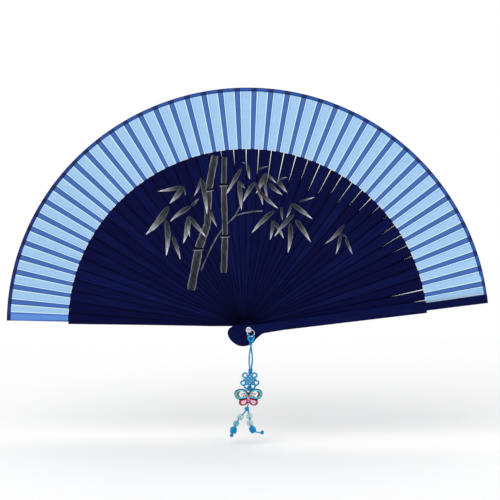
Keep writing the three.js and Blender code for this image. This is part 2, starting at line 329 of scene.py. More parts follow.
def place_group(make, tree, inputs):
    """Places a node group with its own values, and gives its outputs."""
    node = make.add("GeometryNodeGroup" if tree.type == "GEOMETRY" else "ShaderNodeGroup")
    node.node_tree = tree
    make.fill(node.inputs, inputs)
    return node.outputs


def link_object(name, mesh, *materials):
    """A new object in the scene with those materials on its mesh."""
    piece = bpy.data.objects.new(name, mesh)
    bpy.context.scene.collection.objects.link(piece)
    for material in materials:
        mesh.materials.append(material)
    return piece


def grow(tree, name, values):
    """Runs a geometry tree once and gives its result as a plain mesh object."""
    holder = link_object(f"{name}.growing", bpy.data.meshes.new(name))
    modifier = holder.modifiers.new(tree.name, "NODES")
    modifier.node_group = tree
    for item in tree.interface.items_tree:
        if item.item_type == "SOCKET" and item.in_out == "INPUT" and item.name in values:
            modifier[item.identifier] = values[item.name]
    graph = bpy.context.evaluated_depsgraph_get()
    grown = holder.evaluated_get(graph)
    mesh = bpy.data.meshes.new_from_object(grown, preserve_all_data_layers=True, depsgraph=graph)
    bpy.data.objects.remove(holder)
    if not mesh.polygons:
        raise RuntimeError(f"{name} came out of its geometry tree with no faces")
    mesh.name = name
    return link_object(name, mesh)


# --- mesh helpers ---

CORE_BANDS = 12


def smooth_line(points, steps, closed=False):
    """A Catmull-Rom line through given points, with that many steps to a stretch."""
    points = [Vector(point) for point in points]
    count = len(points)
    line = []
    stretches = count if closed else count - 1
    for k in range(stretches):
        if closed:
            a, b, c, d = (points[(k + offset) % count] for offset in (-1, 0, 1, 2))
        else:
            a, b = points[max(k - 1, 0)], points[k]
            c, d = points[k + 1], points[min(k + 2, count - 1)]
        for step in range(steps):
            t = step / steps
            line.append(
                0.5 * (2 * b + (c - a) * t + (2 * a - 5 * b + 4 * c - d) * t**2
                       + (3 * b - a - 3 * c + d) * t**3)
            )
    if not closed:
        line.append(points[-1])
    return line


def even_turns(count):
    """That many angles, evenly round a circle."""
    return [2 * math.pi * k / count for k in range(count)]


def mesh_from(name, bm):
    """A new mesh from a bmesh, which is then let go."""
    mesh = bpy.data.meshes.new(name)
    bm.to_mesh(mesh)
    bm.free()
    return mesh


def tube_mesh(name, line, radius, sides=10, closed=False):
    """A round cord along a line. Its UV map has turns round the cord, and metres along it."""
    count = len(line)
    tangents = []
    for k in range(count):
        ahead = line[(k + 1) % count] if closed else line[min(k + 1, count - 1)]
        behind = line[k - 1] if closed or k else line[0]
        tangents.append((ahead - behind).normalized())
    side = tangents[0].orthogonal().normalized()
    sides_out = []
    for tangent in tangents:
        side = (side - tangent * side.dot(tangent)).normalized()
        sides_out.append(side)
    twist = 0.0
    if closed:
        last = sides_out[-1] - tangents[0] * sides_out[-1].dot(tangents[0])
        first = sides_out[0]
        twist = math.atan2(last.cross(first).dot(tangents[0]), last.dot(first))
    rings, marks, travelled = [], [], 0.0
    for k, (point, tangent, out) in enumerate(zip(line, tangents, sides_out)):
        if k:
            travelled += (point - line[k - 1]).length
        turned = Matrix.Rotation(twist * k / count, 3, tangent) @ out
        other = tangent.cross(turned)
        rings.append([
            point + radius * (math.cos(turn) * turned + math.sin(turn) * other)
            for turn in even_turns(sides)
        ])
        marks.append(travelled)
    bm = bmesh.new()
    uv = bm.loops.layers.uv.new("UVMap")
    grid = [[bm.verts.new(point) for point in ring] for ring in rings]
    spans = count if closed else count - 1
    for k in range(spans):
        following = (k + 1) % count
        high = marks[following] if following else marks[-1] + (line[0] - line[-1]).length
        for j in range(sides):
            n = (j + 1) % sides
            face = bm.faces.new((grid[k][j], grid[k][n], grid[following][n], grid[following][j]))
            face.smooth = True
            corners = ((j, marks[k]), (j + 1, marks[k]), (j + 1, high), (j, high))
            for loop, (across, along) in zip(face.loops, corners):
                loop[uv].uv = (across / sides, along)
    if not closed:
        for ring, outward in ((grid[0], -1), (grid[-1], 1)):
            face = bm.faces.new(ring if outward > 0 else ring[::-1])
            for loop in face.loops:
                loop[uv].uv = (0.5, marks[-1] if outward > 0 else 0.0)
    bm.normal_update()
    return mesh_from(name, bm)


def lathe_mesh(name, profile, sides, flat=False):
    """Turns [radius, height] points round the Z axis. The profile starts and ends on the axis, or
    closes on itself."""
    closed = profile[0][0] > 0
    bm = bmesh.new()
    rings = []
    for radius, height in profile:
        if radius == 0:
            rings.append([bm.verts.new((0, 0, height))] * sides)
            continue
        rings.append([
            bm.verts.new((radius * math.cos(turn), radius * math.sin(turn), height))
            for turn in even_turns(sides)
        ])
    pairs = list(zip(rings, rings[1:] + rings[:1]))
    for low, high in pairs if closed else pairs[:-1]:
        for j in range(sides):
            n = (j + 1) % sides
            corners = []
            for vertex in (low[j], low[n], high[n], high[j]):
                if vertex not in corners:
                    corners.append(vertex)
            face = bm.faces.new(corners)
            face.smooth = not flat
    bmesh.ops.recalc_face_normals(bm, faces=bm.faces)
    return mesh_from(name, bm)


def join_meshes(name, meshes):
    """One mesh from several, each keeping its own UV map and its material number."""
    bm = bmesh.new()
    for number, mesh in meshes:
        start = len(bm.faces)
        bm.from_mesh(mesh)
        bm.faces.ensure_lookup_table()
        for face in bm.faces[start:]:
            face.material_index = number
        bpy.data.meshes.remove(mesh)
    return mesh_from(name, bm)


def settle(mesh, place, aim=None):
    """Moves a mesh to its place, with its Z axis turned to aim."""
    turn = Vector((0, 0, 1)).rotation_difference(aim).to_matrix().to_4x4() if aim else Matrix()
    mesh.transform(Matrix.Translation(place) @ turn)
    return mesh


def woven_ball(name, radius, strand, core, leads, bights, lean, wave, steps, sides, stretch=1.0):
    """Cord woven round and round into a ball, over a core of the same cord. The strand goes round
    leads times and turns back bights times at each pole. sides are the strand's and the core's."""
    line = []
    for step in range(steps):
        turn = 2 * math.pi * leads * step / steps
        tilt = lean * math.cos(bights * turn / leads)
        lift = (radius - strand) * (1 + wave * math.sin(2 * bights * turn / leads))
        flat = lift * math.cos(tilt)
        rise = stretch * lift * math.sin(tilt)
        line.append(Vector((flat * math.cos(turn), flat * math.sin(turn), rise)))
    woven = tube_mesh(name, line, strand, sides=sides[0], closed=True)
    profile = [(0, -stretch * core)]
    for k in range(1, CORE_BANDS):
        turn = math.pi * k / CORE_BANDS
        profile.append((core * math.sin(turn), -stretch * core * math.cos(turn)))
    profile.append((0, stretch * core))
    return join_meshes(name, [(0, woven), (0, lathe_mesh("core", profile, sides[1]))])


def rounded_pad(name, outline, thickness, edge, holes=()):
    """A flat pad in the fan's plane from outlines of [x, z] in metres, with rounded rims."""
    curve = bpy.data.curves.new(name, "CURVE")
    curve.dimensions = "2D"
    curve.fill_mode = "BOTH"
    curve.extrude = thickness / 2 - edge
    curve.bevel_depth = edge
    curve.bevel_resolution = 2
    curve.offset = -edge
    for loop in (outline, *holes):
        spline = curve.splines.new("POLY")
        spline.points.add(len(loop) - 1)
        spline.use_cyclic_u = True
        for point, (x, z) in zip(spline.points, loop):
            point.co = (x, z, 0, 1)
    holder = bpy.data.objects.new(name, curve)
    bpy.context.scene.collection.objects.link(holder)
    graph = bpy.context.evaluated_depsgraph_get()
    mesh = bpy.data.meshes.new_from_object(holder.evaluated_get(graph), depsgraph=graph)
    bpy.data.objects.remove(holder)
    bpy.data.curves.remove(curve)
    bm = bmesh.new()
    bm.from_mesh(mesh)
    bmesh.ops.remove_doubles(bm, verts=bm.verts, dist=WELD)
    bmesh.ops.recalc_face_normals(bm, faces=bm.faces)
    bm.to_mesh(mesh)
    bm.free()
    mesh.transform(Matrix.Rotation(math.pi / 2, 4, "X"))
    mesh.materials.clear()
    return mesh


# --- geometry trees ---

# Rings of points along a slat, and points round each ring
HEAD_RINGS = 14
BODY_RINGS = 10
STRIP_RINGS = 3
SECTION_SIDES = 8
LAST_RING = HEAD_RINGS + BODY_RINGS + STRIP_RINGS + 3


def start_grid(make, columns, rows, width, height):
    """A flat grid to be shaped, and the x and y of its points from its middle."""
    grid = make.add("GeometryNodeMeshGrid", {
        "Size X": width, "Size Y": height, "Vertices X": columns + 1, "Vertices Y": rows + 1,
    })
    place = make.split(make.add("GeometryNodeInputPosition").outputs[0])
    return grid.outputs["Mesh"], place[0], place[1]


def shape_grid(make, grid, label, mark, position):
    """Marks the grid's points with three numbers while they are still flat, then moves them."""
    marked = make.add("GeometryNodeStoreNamedAttribute", {
        "Geometry": grid, "Name": label, "Value": mark,
    }, data_type="FLOAT_VECTOR", domain="POINT")
    shaped = {"Geometry": marked.outputs[0], "Position": position}
    return make.add("GeometryNodeSetPosition", shaped).outputs[0]


def weld(make, geometry):
    """Closes seams and ends by making points that lie together one."""
    inputs = {"Geometry": geometry, "Distance": WELD}
    return make.add("GeometryNodeMergeByDistance", inputs).outputs[0]


def rounded_section(make, side, sides, half, thickness, edge):
    """A flat section with rounded corners: how far across and how far up its points are."""
    m = make.math
    turn = m("MULTIPLY", m("ADD", side, 0.5), 2 * math.pi / sides)
    cosine, sine = m("COSINE", turn), m("SINE", turn)
    inner = m("MAXIMUM", m("SUBTRACT", half, edge), 0.0)
    corner = m("MULTIPLY", m("MINIMUM", half, edge), cosine)
    across = m("MULTIPLY_ADD", m("SIGN", cosine), inner, corner)
    rise = m("SUBTRACT", m("MULTIPLY", thickness, 0.5), edge)
    up = m("MULTIPLY_ADD", m("SIGN", sine), rise, m("MULTIPLY", edge, sine))
    return across, up


def build_slat_tree(name):
    """A slat: round head, straight neck, tapering body, then a step in to a thin strip."""
    inputs = [
        ("Head Radius", "Float", HEAD_RADIUS),
        ("Neck Half", "Float", NECK_HALF),
        ("Neck Radius", "Float", NECK_RADIUS),
        ("Shoulder Half", "Float", 4.8 * MM),
        ("Shoulder Radius", "Float", SHOULDER_RADIUS),
        ("Flare Power", "Float", 1.0),
        ("Strip Inner Half", "Float", STRIP_INNER_HALF),
        ("Strip Outer Half", "Float", STRIP_OUTER_HALF),
        ("Tip Radius", "Float", BINDING_INNER_RADIUS),
        ("Thickness", "Float", 0.46 * MM),
        ("Edge Rounding", "Float", 0.09 * MM),
        ("Hole Radius", "Float", PIVOT_HOLE_RADIUS),
        ("Number", "Float", 1.0),
        ("Angle", "Float", 0.0),
        ("Depth", "Float", 0.0),
        ("Material", "Material", None),
    ]
    tree, make, given = new_tree(name, "GeometryNodeTree", inputs, [("Geometry", "Geometry")])
    m = make.math
    grid, x, y = start_grid(make, LAST_RING, SECTION_SIDES, LAST_RING, SECTION_SIDES)
    ring = m("ADD", x, LAST_RING / 2)
    side = m("ADD", y, SECTION_SIDES / 2)

    def stage(first, count):
        """How far the rings have come through one stretch of the stick, 0 to 1."""
        return m("DIVIDE", m("SUBTRACT", ring, first), count, clamp=True)

    neck_turn = m("ARCSINE", m("DIVIDE", given["Neck Half"], given["Head Radius"]))
    turn = m("MULTIPLY", stage(0, HEAD_RINGS), m("SUBTRACT", math.pi, neck_turn))
    head_along = m("MULTIPLY", m("COSINE", turn), m("MULTIPLY", given["Head Radius"], -1.0))
    head_half = m("MULTIPLY", m("SINE", turn), given["Head Radius"])
    along = make.blend(stage(HEAD_RINGS, 1), head_along, given["Neck Radius"])
    body = stage(HEAD_RINGS + 1, BODY_RINGS)
    body_length = m("SUBTRACT", given["Shoulder Radius"], given["Neck Radius"])
    along = m("MULTIPLY_ADD", body, body_length, along)
    flare = m("SUBTRACT", given["Shoulder Half"], given["Neck Half"])
    half = m("MULTIPLY_ADD", m("POWER", body, given["Flare Power"]), flare, head_half)
    shoulder = stage(HEAD_RINGS + 1 + BODY_RINGS, 1)
    half = make.blend(shoulder, half, given["Strip Inner Half"])
    strip = stage(HEAD_RINGS + 2 + BODY_RINGS, STRIP_RINGS)
    strip_length = m("SUBTRACT", given["Tip Radius"], given["Shoulder Radius"])
    along = m("MULTIPLY_ADD", strip, strip_length, along)
    strip_flare = m("SUBTRACT", given["Strip Outer Half"], given["Strip Inner Half"])
    half = m("MULTIPLY_ADD", strip, strip_flare, half)
    open_end = m("SUBTRACT", 1.0, stage(LAST_RING - 1, 1))

    reach, rise = rounded_section(
        make, side, SECTION_SIDES, half, given["Thickness"], given["Edge Rounding"]
    )
    across, up = m("MULTIPLY", reach, open_end), m("MULTIPLY", rise, open_end)
    share = m("DIVIDE", across, m("MAXIMUM", half, 0.01 * MM))
    front_or_back = m("MULTIPLY", m("SIGN", rise), given["Number"])
    mark = make.point(along, share, front_or_back)
    shaped = shape_grid(make, grid, "board", mark, make.point(along, across, up))
    outward = make.add("GeometryNodeFlipFaces", {"Mesh": weld(make, shaped)})
    drill_depth = m("MULTIPLY", given["Thickness"], 3.0)
    drill = make.add("GeometryNodeMeshCylinder", {
        "Vertices": 24, "Radius": given["Hole Radius"], "Depth": drill_depth,
    })
    drilled = make.add("GeometryNodeMeshBoolean", {
        "Mesh 1": outward.outputs[0], "Mesh 2": drill.outputs["Mesh"],
    }, operation="DIFFERENCE", solver="FLOAT")
    turned = make.add("GeometryNodeTransform", {
        "Geometry": drilled.outputs[0],
        "Translation": make.point(0.0, given["Depth"], 0.0),
        "Rotation": make.point(math.pi / 2, m("MULTIPLY", given["Angle"], -1.0), 0.0),
    })
    end_tree(make, turned.outputs[0], given["Material"])
    return tree


def end_tree(make, geometry, material):
    """Every tree ends by making its copies real and giving them their finish."""
    real = make.add("GeometryNodeRealizeInstances", {"Geometry": geometry}).outputs[0]
    coated = make.add("GeometryNodeSetMaterial", {"Geometry": real, "Material": material})
    finish_tree(make, Geometry=coated.outputs[0])


PLEAT_INPUTS = [
    ("Angle", "Float", 0.0),
    ("Depth", "Float", 0.0),
    ("Crease Angle", "Float", CREASE_ANGLE),
    ("Earlier Half Angle", "Float", 2 * DEGREE),
    ("Later Half Angle", "Float", 2 * DEGREE),
    ("Earlier Depth", "Float", 0.0),
    ("Later Depth", "Float", 0.0),
    ("Inner Radius", "Float", LEAF_INNER_RADIUS),
    ("Outer Radius", "Float", LEAF_OUTER_RADIUS),
    ("Thickness", "Float", 0.09 * MM),
    ("Ripple", "Float", 0.07 * MM),
    ("Seed", "Float", 0.0),
    ("Material", "Material", None),
]


PLEAT_LINE_INPUTS = PLEAT_INPUTS[1:7]  # from Depth to Later Depth


def build_pleat_line(name):
    """Where the leaf runs across one stick: flat between the two creases, then sloping to a point
    halfway to the next stick. Share is -1 at the later stick's side and 1 at the earlier one's."""
    inputs = [("Share", "Float", 0.0), *PLEAT_LINE_INPUTS]
    outputs = [("Lean", "Float"), ("Depth", "Float"), ("Slope", "Float")]
    tree, make, given = new_tree(name, "GeometryNodeTree", inputs, outputs)
    m = make.math
    earlier = m("GREATER_THAN", given["Share"], 0.0)
    size = m("MULTIPLY", m("ABSOLUTE", given["Share"]), 2.0)
    flat = m("MINIMUM", size, 1.0)
    slope = m("MAXIMUM", m("SUBTRACT", size, 1.0), 0.0)
    half = make.blend(earlier, given["Later Half Angle"], given["Earlier Half Angle"])
    far = make.blend(earlier, given["Later Depth"], given["Earlier Depth"])
    beyond = m("MULTIPLY", slope, m("SUBTRACT", half, given["Crease Angle"]))
    lean = m("MULTIPLY_ADD", flat, given["Crease Angle"], beyond)
    lean = m("MULTIPLY", lean, m("SIGN", given["Share"]))
    depth = make.blend(slope, given["Depth"], far)
    finish_tree(make, Lean=lean, Depth=depth, Slope=slope)
    return tree


def pleat_line(make, given, share):
    """The shared pleat line, fed from a tree's own inputs."""
    line = tree_named("Pleat Line", build_pleat_line)
    inputs = {label: given[label] for label, _, _ in PLEAT_LINE_INPUTS}
    return place_group(make, line, {"Share": share, **inputs})


def fan_point(make, angle, lean, radius, depth):
    """A point of the leaf from its angle, its radius and its depth."""
    turn = make.math("ADD", angle, lean)
    x = make.math("MULTIPLY", radius, make.math("COSINE", turn))
    z = make.math("MULTIPLY", radius, make.math("SINE", turn))
    return make.point(x, depth, z)


SILK_ROWS = 30
SILK_COLUMNS = 16
RIPPLES_OUT = 60.0  # how often the ripples change, along a metre of radius
RIPPLES_ACROSS = 26.0  # and along a radian


def build_silk_tree(name):
    """The silk over one stick, from halfway to the stick before it to halfway to the one after."""
    tree, make, given = new_tree(name, "GeometryNodeTree", PLEAT_INPUTS, [("Geometry", "Geometry")])
    m = make.math
    grid, x, y = start_grid(make, SILK_ROWS, SILK_COLUMNS, 1.0, 2.0)
    radius = make.blend(m("ADD", x, 0.5), given["Inner Radius"], given["Outer Radius"])
    line = pleat_line(make, given, y)
    out, around = m("MULTIPLY", radius, RIPPLES_OUT), m("MULTIPLY", line["Lean"], RIPPLES_ACROSS)
    noise = make.noise(make.point(out, around, given["Seed"]), 2.0, detail=2.0)
    wave = m("MULTIPLY", m("SUBTRACT", noise, 0.5), given["Ripple"])
    height = m("MULTIPLY", wave, m("SUBTRACT", 1.0, line["Slope"]))
    depth = m("ADD", line["Depth"], height)
    mark = make.point(line["Lean"], radius, given["Seed"])
    place = fan_point(make, given["Angle"], line["Lean"], radius, depth)
    shaped = shape_grid(make, grid, "cloth", mark, place)
    forward = make.point(0.0, m("MULTIPLY", given["Thickness"], -1.0), 0.0)
    front = make.add("GeometryNodeExtrudeMesh", {
        "Mesh": shaped, "Offset": forward, "Offset Scale": 1.0, "Individual": False,
    })
    back = make.add("GeometryNodeFlipFaces", {"Mesh": shaped})
    both = make.add("GeometryNodeJoinGeometry", {0: front.outputs[0]})
    make.put(both.inputs[0], back.outputs[0])
    end_tree(make, soften(make, weld(make, both.outputs[0])), given["Material"])
    return tree


def soften(make, geometry):
    """Smooth shading, with a hard line wherever two faces meet at more than 40 degrees."""
    smooth = make.add("GeometryNodeSetShadeSmooth", {"Geometry": geometry, "Shade Smooth": True})
    angle = make.add("GeometryNodeInputMeshEdgeAngle").outputs[0]
    hard = make.math("GREATER_THAN", angle, 40 * DEGREE)
    return make.add("GeometryNodeSetShadeSmooth", {
        "Geometry": smooth.outputs[0], "Selection": hard, "Shade Smooth": False,
    }, domain="EDGE").outputs[0]


TAPE_COLUMNS = 16
TAPE_SIDES = 12


def build_tape_tree(name):
    """The tape folded over the leaf's outer edge across one stick, as a rounded closed band."""
    tree, make, given = new_tree(name, "GeometryNodeTree", PLEAT_INPUTS, [("Geometry", "Geometry")])
    m = make.math
    last = TAPE_COLUMNS + 2  # a shut ring at each end closes the band
    grid, x, y = start_grid(make, last, TAPE_SIDES, last, TAPE_SIDES)
    share = m("MINIMUM", m("MAXIMUM", m("DIVIDE", x, TAPE_COLUMNS / 2), -1.0), 1.0)
    open_end = m("LESS_THAN", m("ABSOLUTE", x), TAPE_COLUMNS / 2 + 0.5)
    line = pleat_line(make, given, share)
    half = m("MULTIPLY", m("SUBTRACT", given["Outer Radius"], given["Inner Radius"]), 0.5)
    middle = m("MULTIPLY", m("ADD", given["Outer Radius"], given["Inner Radius"]), 0.5)
    edge = m("MULTIPLY", given["Thickness"], 0.45)
    reach, up = rounded_section(make, y, TAPE_SIDES, half, given["Thickness"], edge)
    radius = m("MULTIPLY_ADD", reach, open_end, middle)
    depth = m("MULTIPLY_ADD", up, open_end, line["Depth"])
    mark = make.point(line["Lean"], radius, given["Seed"])
    place = fan_point(make, given["Angle"], line["Lean"], radius, depth)
    shaped = shape_grid(make, grid, "cloth", mark, place)
    end_tree(make, soften(make, weld(make, shaped)), given["Material"])
    return tree


# --- materials ---


def new_material(name):
    """An empty material with its shader and output, and a maker for its other nodes."""
    material = bpy.data.materials.new(name)
    material.use_nodes = True
    material.node_tree.nodes.clear()
    make = NodeMaker(material.node_tree)
    shader = make.add("ShaderNodeBsdfPrincipled")
    output = make.add("ShaderNodeOutputMaterial")
    make.put(output.inputs["Surface"], shader.outputs[0])
    return material, make, shader.inputs


def bump(make, height, strength, distance):
    """A normal raised by a height between 0 and 1."""
    inputs = {"Height": height, "Strength": strength, "Distance": distance}
    return make.add("ShaderNodeBump", inputs).outputs[0]


def stored(make, name):
    """The three numbers that a geometry tree left on the mesh under that name."""
    return make.add("ShaderNodeAttribute", attribute_name=name).outputs["Vector"]


def object_point(make):
    """The point being shaded, in the fan's own frame."""
    return make.add("ShaderNodeTexCoord").outputs["Object"]


def arch(make, run):
    """0 at both ends of a run from 0 to 1, and 1 in its middle."""
    m = make.math
    return m("MULTIPLY", m("MULTIPLY", run, m("SUBTRACT", 1.0, run)), 4.0)


# How a brush stroke is shaped and shaded
WIDEST_EARLY = 0.66  # a stroke is widest before its middle
WAVER_PER_METRE = 160.0
HAIRS_PER_METRE = 2300.0
HAIR_BREAKS_PER_METRE = 110.0
WHITENING = 3.3  # how late along the stroke its tip whitens
RIM_CRISPNESS = 9.0


def build_brush_group(name):
    """One brush stroke in the fan's plane: its mask, and its tone from base to tip."""
    inputs = [
        ("Point", "Vector", None), ("Base X", "Float", 0.0), ("Base Z", "Float", 0.0),
        ("Turn", "Float", 0.0), ("Length", "Float", 0.02), ("Half Width", "Float", 0.002),
        ("Bend", "Float", 0.0), ("Taper", "Float", 0.8), ("Base Tone", "Float", 0.1),
        ("Tip Tone", "Float", 0.9), ("Rim Tone", "Float", 0.15),
    ]
    outputs = [("Mask", "Float"), ("Tone", "Float")]
    tree, make, given = new_tree(name, "ShaderNodeTree", inputs, outputs)
    m = make.math
    point = make.split(given["Point"])
    x, z = m("SUBTRACT", point[0], given["Base X"]), m("SUBTRACT", point[2], given["Base Z"])
    cosine, sine = m("COSINE", given["Turn"]), m("SINE", given["Turn"])
    along = m("ADD", m("MULTIPLY", x, cosine), m("MULTIPLY", z, sine))
    across = m("SUBTRACT", m("MULTIPLY", z, cosine), m("MULTIPLY", x, sine))
    run = m("DIVIDE", along, given["Length"])
    held = m("MINIMUM", m("MAXIMUM", run, 0.001), 0.999)
    sag = m("MULTIPLY", m("MULTIPLY", given["Bend"], given["Length"]), arch(make, held))
    body = arch(make, m("POWER", held, WIDEST_EARLY))
    width = m("MULTIPLY", m("POWER", body, given["Taper"]), given["Half Width"])
    waver = make.point(m("MULTIPLY", along, WAVER_PER_METRE), given["Base X"], given["Turn"])
    hand = make.noise(waver, 1.0, detail=1.0)
    width = m("MULTIPLY", width, m("MULTIPLY_ADD", hand, 0.5, 0.75))
    rim = m("DIVIDE", m("ABSOLUTE", m("SUBTRACT", across, sag)), width)
    inside = make.ramp(rim, 1.08, 0.86)
    after = m("GREATER_THAN", run, 0.0)
    before = m("LESS_THAN", run, 1.0)
    mask = m("MULTIPLY", inside, m("MULTIPLY", after, before))
    tone = make.blend(m("POWER", held, WHITENING), given["Base Tone"], given["Tip Tone"])
    near_rim = m("POWER", m("MINIMUM", rim, 1.0), RIM_CRISPNESS)
    tone = m("MULTIPLY_ADD", near_rim, given["Rim Tone"], tone)
    breaks = m("MULTIPLY", along, HAIR_BREAKS_PER_METRE)
    hair = make.point(breaks, m("MULTIPLY", across, HAIRS_PER_METRE), given["Turn"])
    dry = make.ramp(make.noise(hair, 1.0, detail=2.0), 0.36, 0.62, 0.42, 1.12)
    finish_tree(make, Mask=mask, Tone=m("MULTIPLY", tone, dry))
    return tree


# Wood under the lacquer: how often streaks and pores change along a metre and across a half width
STREAK_SCALE = (26.0, 5.0)
PORE_SCALE = (90.0, 34.0)
STICK_STEP = 3.7  # sets each stick's pattern apart from its neighbour's


def build_streak_and_edge_shade_group(name):
    """Fine wood streaks along a stick under its lacquer, and painted shade along its long edges.
    Board holds the distance along it, the share of its half width across it, and its number,
    which is negative on its back."""
    outputs = [("Streak", "Float"), ("Pore", "Float"), ("Shade", "Float"), ("Rim", "Float")]
    tree, make, given = new_tree(name, "ShaderNodeTree", [("Board", "Vector", None)], outputs)
    m = make.math
    board = make.split(given["Board"])
    number = m("MULTIPLY", m("ABSOLUTE", board[2]), STICK_STEP)
    coarse, fine = (
        make.point(m("MULTIPLY", board[0], along), m("MULTIPLY", board[1], across), number)
        for along, across in (STREAK_SCALE, PORE_SCALE)
    )
    streak = make.ramp(make.noise(coarse, 1.7, detail=6.0, roughness=0.7), 0.36, 0.70)
    pore = make.noise(fine, 1.4, detail=3.0)
    shade = make.add("ShaderNodeTexWhiteNoise", {"W": m("ROUND", number)}, noise_dimensions="1D")
    # Painted shade: darker towards both long edges, where the neighbouring slat's shadow falls
    rim = make.ramp(m("ABSOLUTE", board[1]), 0.80, 0.92)
    finish_tree(make, Streak=streak, Pore=pore, Shade=shade.outputs["Value"], Rim=rim)
    return tree


SLUB_LONG = 260.0  # per metre along a thread
SLUB_WIDE = 2600.0  # per metre across the threads


def build_weave_group(name):
    """Threads both ways across the leaf: their height, and how their thickness varies. Cloth holds
    the angle from the stick, the radius and a seed."""
    inputs = [("Cloth", "Vector", None), ("Thread", "Float", 0.3 * MM)]
    outputs = [("Height", "Float"), ("Slub", "Float")]
    tree, make, given = new_tree(name, "ShaderNodeTree", inputs, outputs)
    m = make.math
    cloth = make.split(given["Cloth"])
    across = m("MULTIPLY", cloth[0], cloth[1])
    turns = m("DIVIDE", 2 * math.pi, given["Thread"])
    warp = m("SINE", m("MULTIPLY", across, turns))
    weft = m("SINE", m("MULTIPLY", cloth[1], turns))
    height = m("MULTIPLY_ADD", m("MULTIPLY", warp, weft), 0.5, 0.5)
    slubs = []
    for over, out in ((SLUB_WIDE, SLUB_LONG), (SLUB_LONG, SLUB_WIDE)):
        where = make.point(m("MULTIPLY", across, over), m("MULTIPLY", cloth[1], out), cloth[2])
        slubs.append(make.noise(where, 1.0))
    finish_tree(make, Height=height, Slub=m("MULTIPLY", m("ADD", *slubs), 0.5))
    return tree


def build_mottle_group(name):
    """Soft uneven patches, and a fine grain for small dents and specks."""
    inputs = [("Point", "Vector", None), ("Size", "Float", 2 * MM)]
    outputs = [("Patch", "Float"), ("Grain", "Float")]
    tree, make, given = new_tree(name, "ShaderNodeTree", inputs, outputs)
    scale = make.math("DIVIDE", 1.0, given["Size"])
    patch = make.noise(given["Point"], scale, detail=4.0)
    grain_scale = make.math("MULTIPLY", scale, 9.0)
    grain = make.noise(given["Point"], grain_scale, detail=2.0)
    finish_tree(make, Patch=patch, Grain=grain)
    return tree


def mottle(make, size):
    """The mottle's patch and grain on this material's own Object coordinates."""
    group = tree_named("Mottle", build_mottle_group)
    return place_group(make, group, {"Point": object_point(make), "Size": size})


def fine_weave(make, cloth, thread):
    """The weave's height and slub on cloth with threads that far apart."""
    group = tree_named("Fine Weave", build_weave_group)
    return place_group(make, group, {"Cloth": cloth, "Thread": thread})


def scaled(share, colour):
    """A darker or lighter shade of a colour."""
    return [share * part for part in colour]


def lacquer(name, strokes=()):
    """Navy lacquer over streaky wood, with painted shade along its long edges and the brushwork that
    crosses this stick.
    """
    colours = bpy.context.scene.fan_colours
    material, make, shader = new_material(name)
    board = stored(make, "board")
    wood = place_group(make, tree_named("Wood Streak", build_streak_and_edge_shade_group), {"Board": board})
    light = make.math("MULTIPLY", wood["Streak"], make.blend(wood["Shade"], 0.25, 1.0))
    base = make.tint(light, colours.lacquer, colours.lacquer_grain)
    # Painted shade: both long edges darken to a fifth of the lacquer, where a neighbouring slat would
    # shade them
    rim = make.math("MULTIPLY", wood["Rim"], 0.85)
    base = make.tint(rim, base, scaled(0.2, colours.lacquer))
    rough = make.blend(wood["Pore"], 0.34, 0.46)
    height = wood["Pore"]
    if strokes:
        base, painted = paint(make, base, make.split(board), strokes, colours.paint)
        rough = make.blend(painted, rough, 0.62)
        height = make.math("MULTIPLY_ADD", painted, 0.6, height)
    make.fill(shader, {
        "Base Color": base, "Roughness": rough, "Specular IOR Level": 0.03,
        "Normal": bump(make, height, 0.35, 0.05 * MM),
    })
    return material


def paint(make, base, board, strokes, white):
    """Lays the strokes one over another on the stick's front face, but not on its edges."""
    ink = (0.004, 0.004, 0.012)
    face_share = 0.985
    point = object_point(make)
    flat = make.math("LESS_THAN", make.math("ABSOLUTE", board[1]), face_share)
    front = make.math("MULTIPLY", make.math("GREATER_THAN", board[2], 0.0), flat)
    bristles = make.ramp(make.noise(point, 900.0, detail=3.0, roughness=0.6), 0.25, 0.62, 0.8, 1.0)
    brush = tree_named("Brush Stroke", build_brush_group)
    painted = 0.0
    for stroke in strokes:
        made = place_group(make, brush, {"Point": point, **stroke})
        mask = make.math("MULTIPLY", made["Mask"], front)
        tone = make.math("MULTIPLY", made["Tone"], bristles, clamp=True)
        base = make.tint(mask, base, make.tint(tone, ink, white))
        painted = make.math("MAXIMUM", mask, painted)
    return base, painted


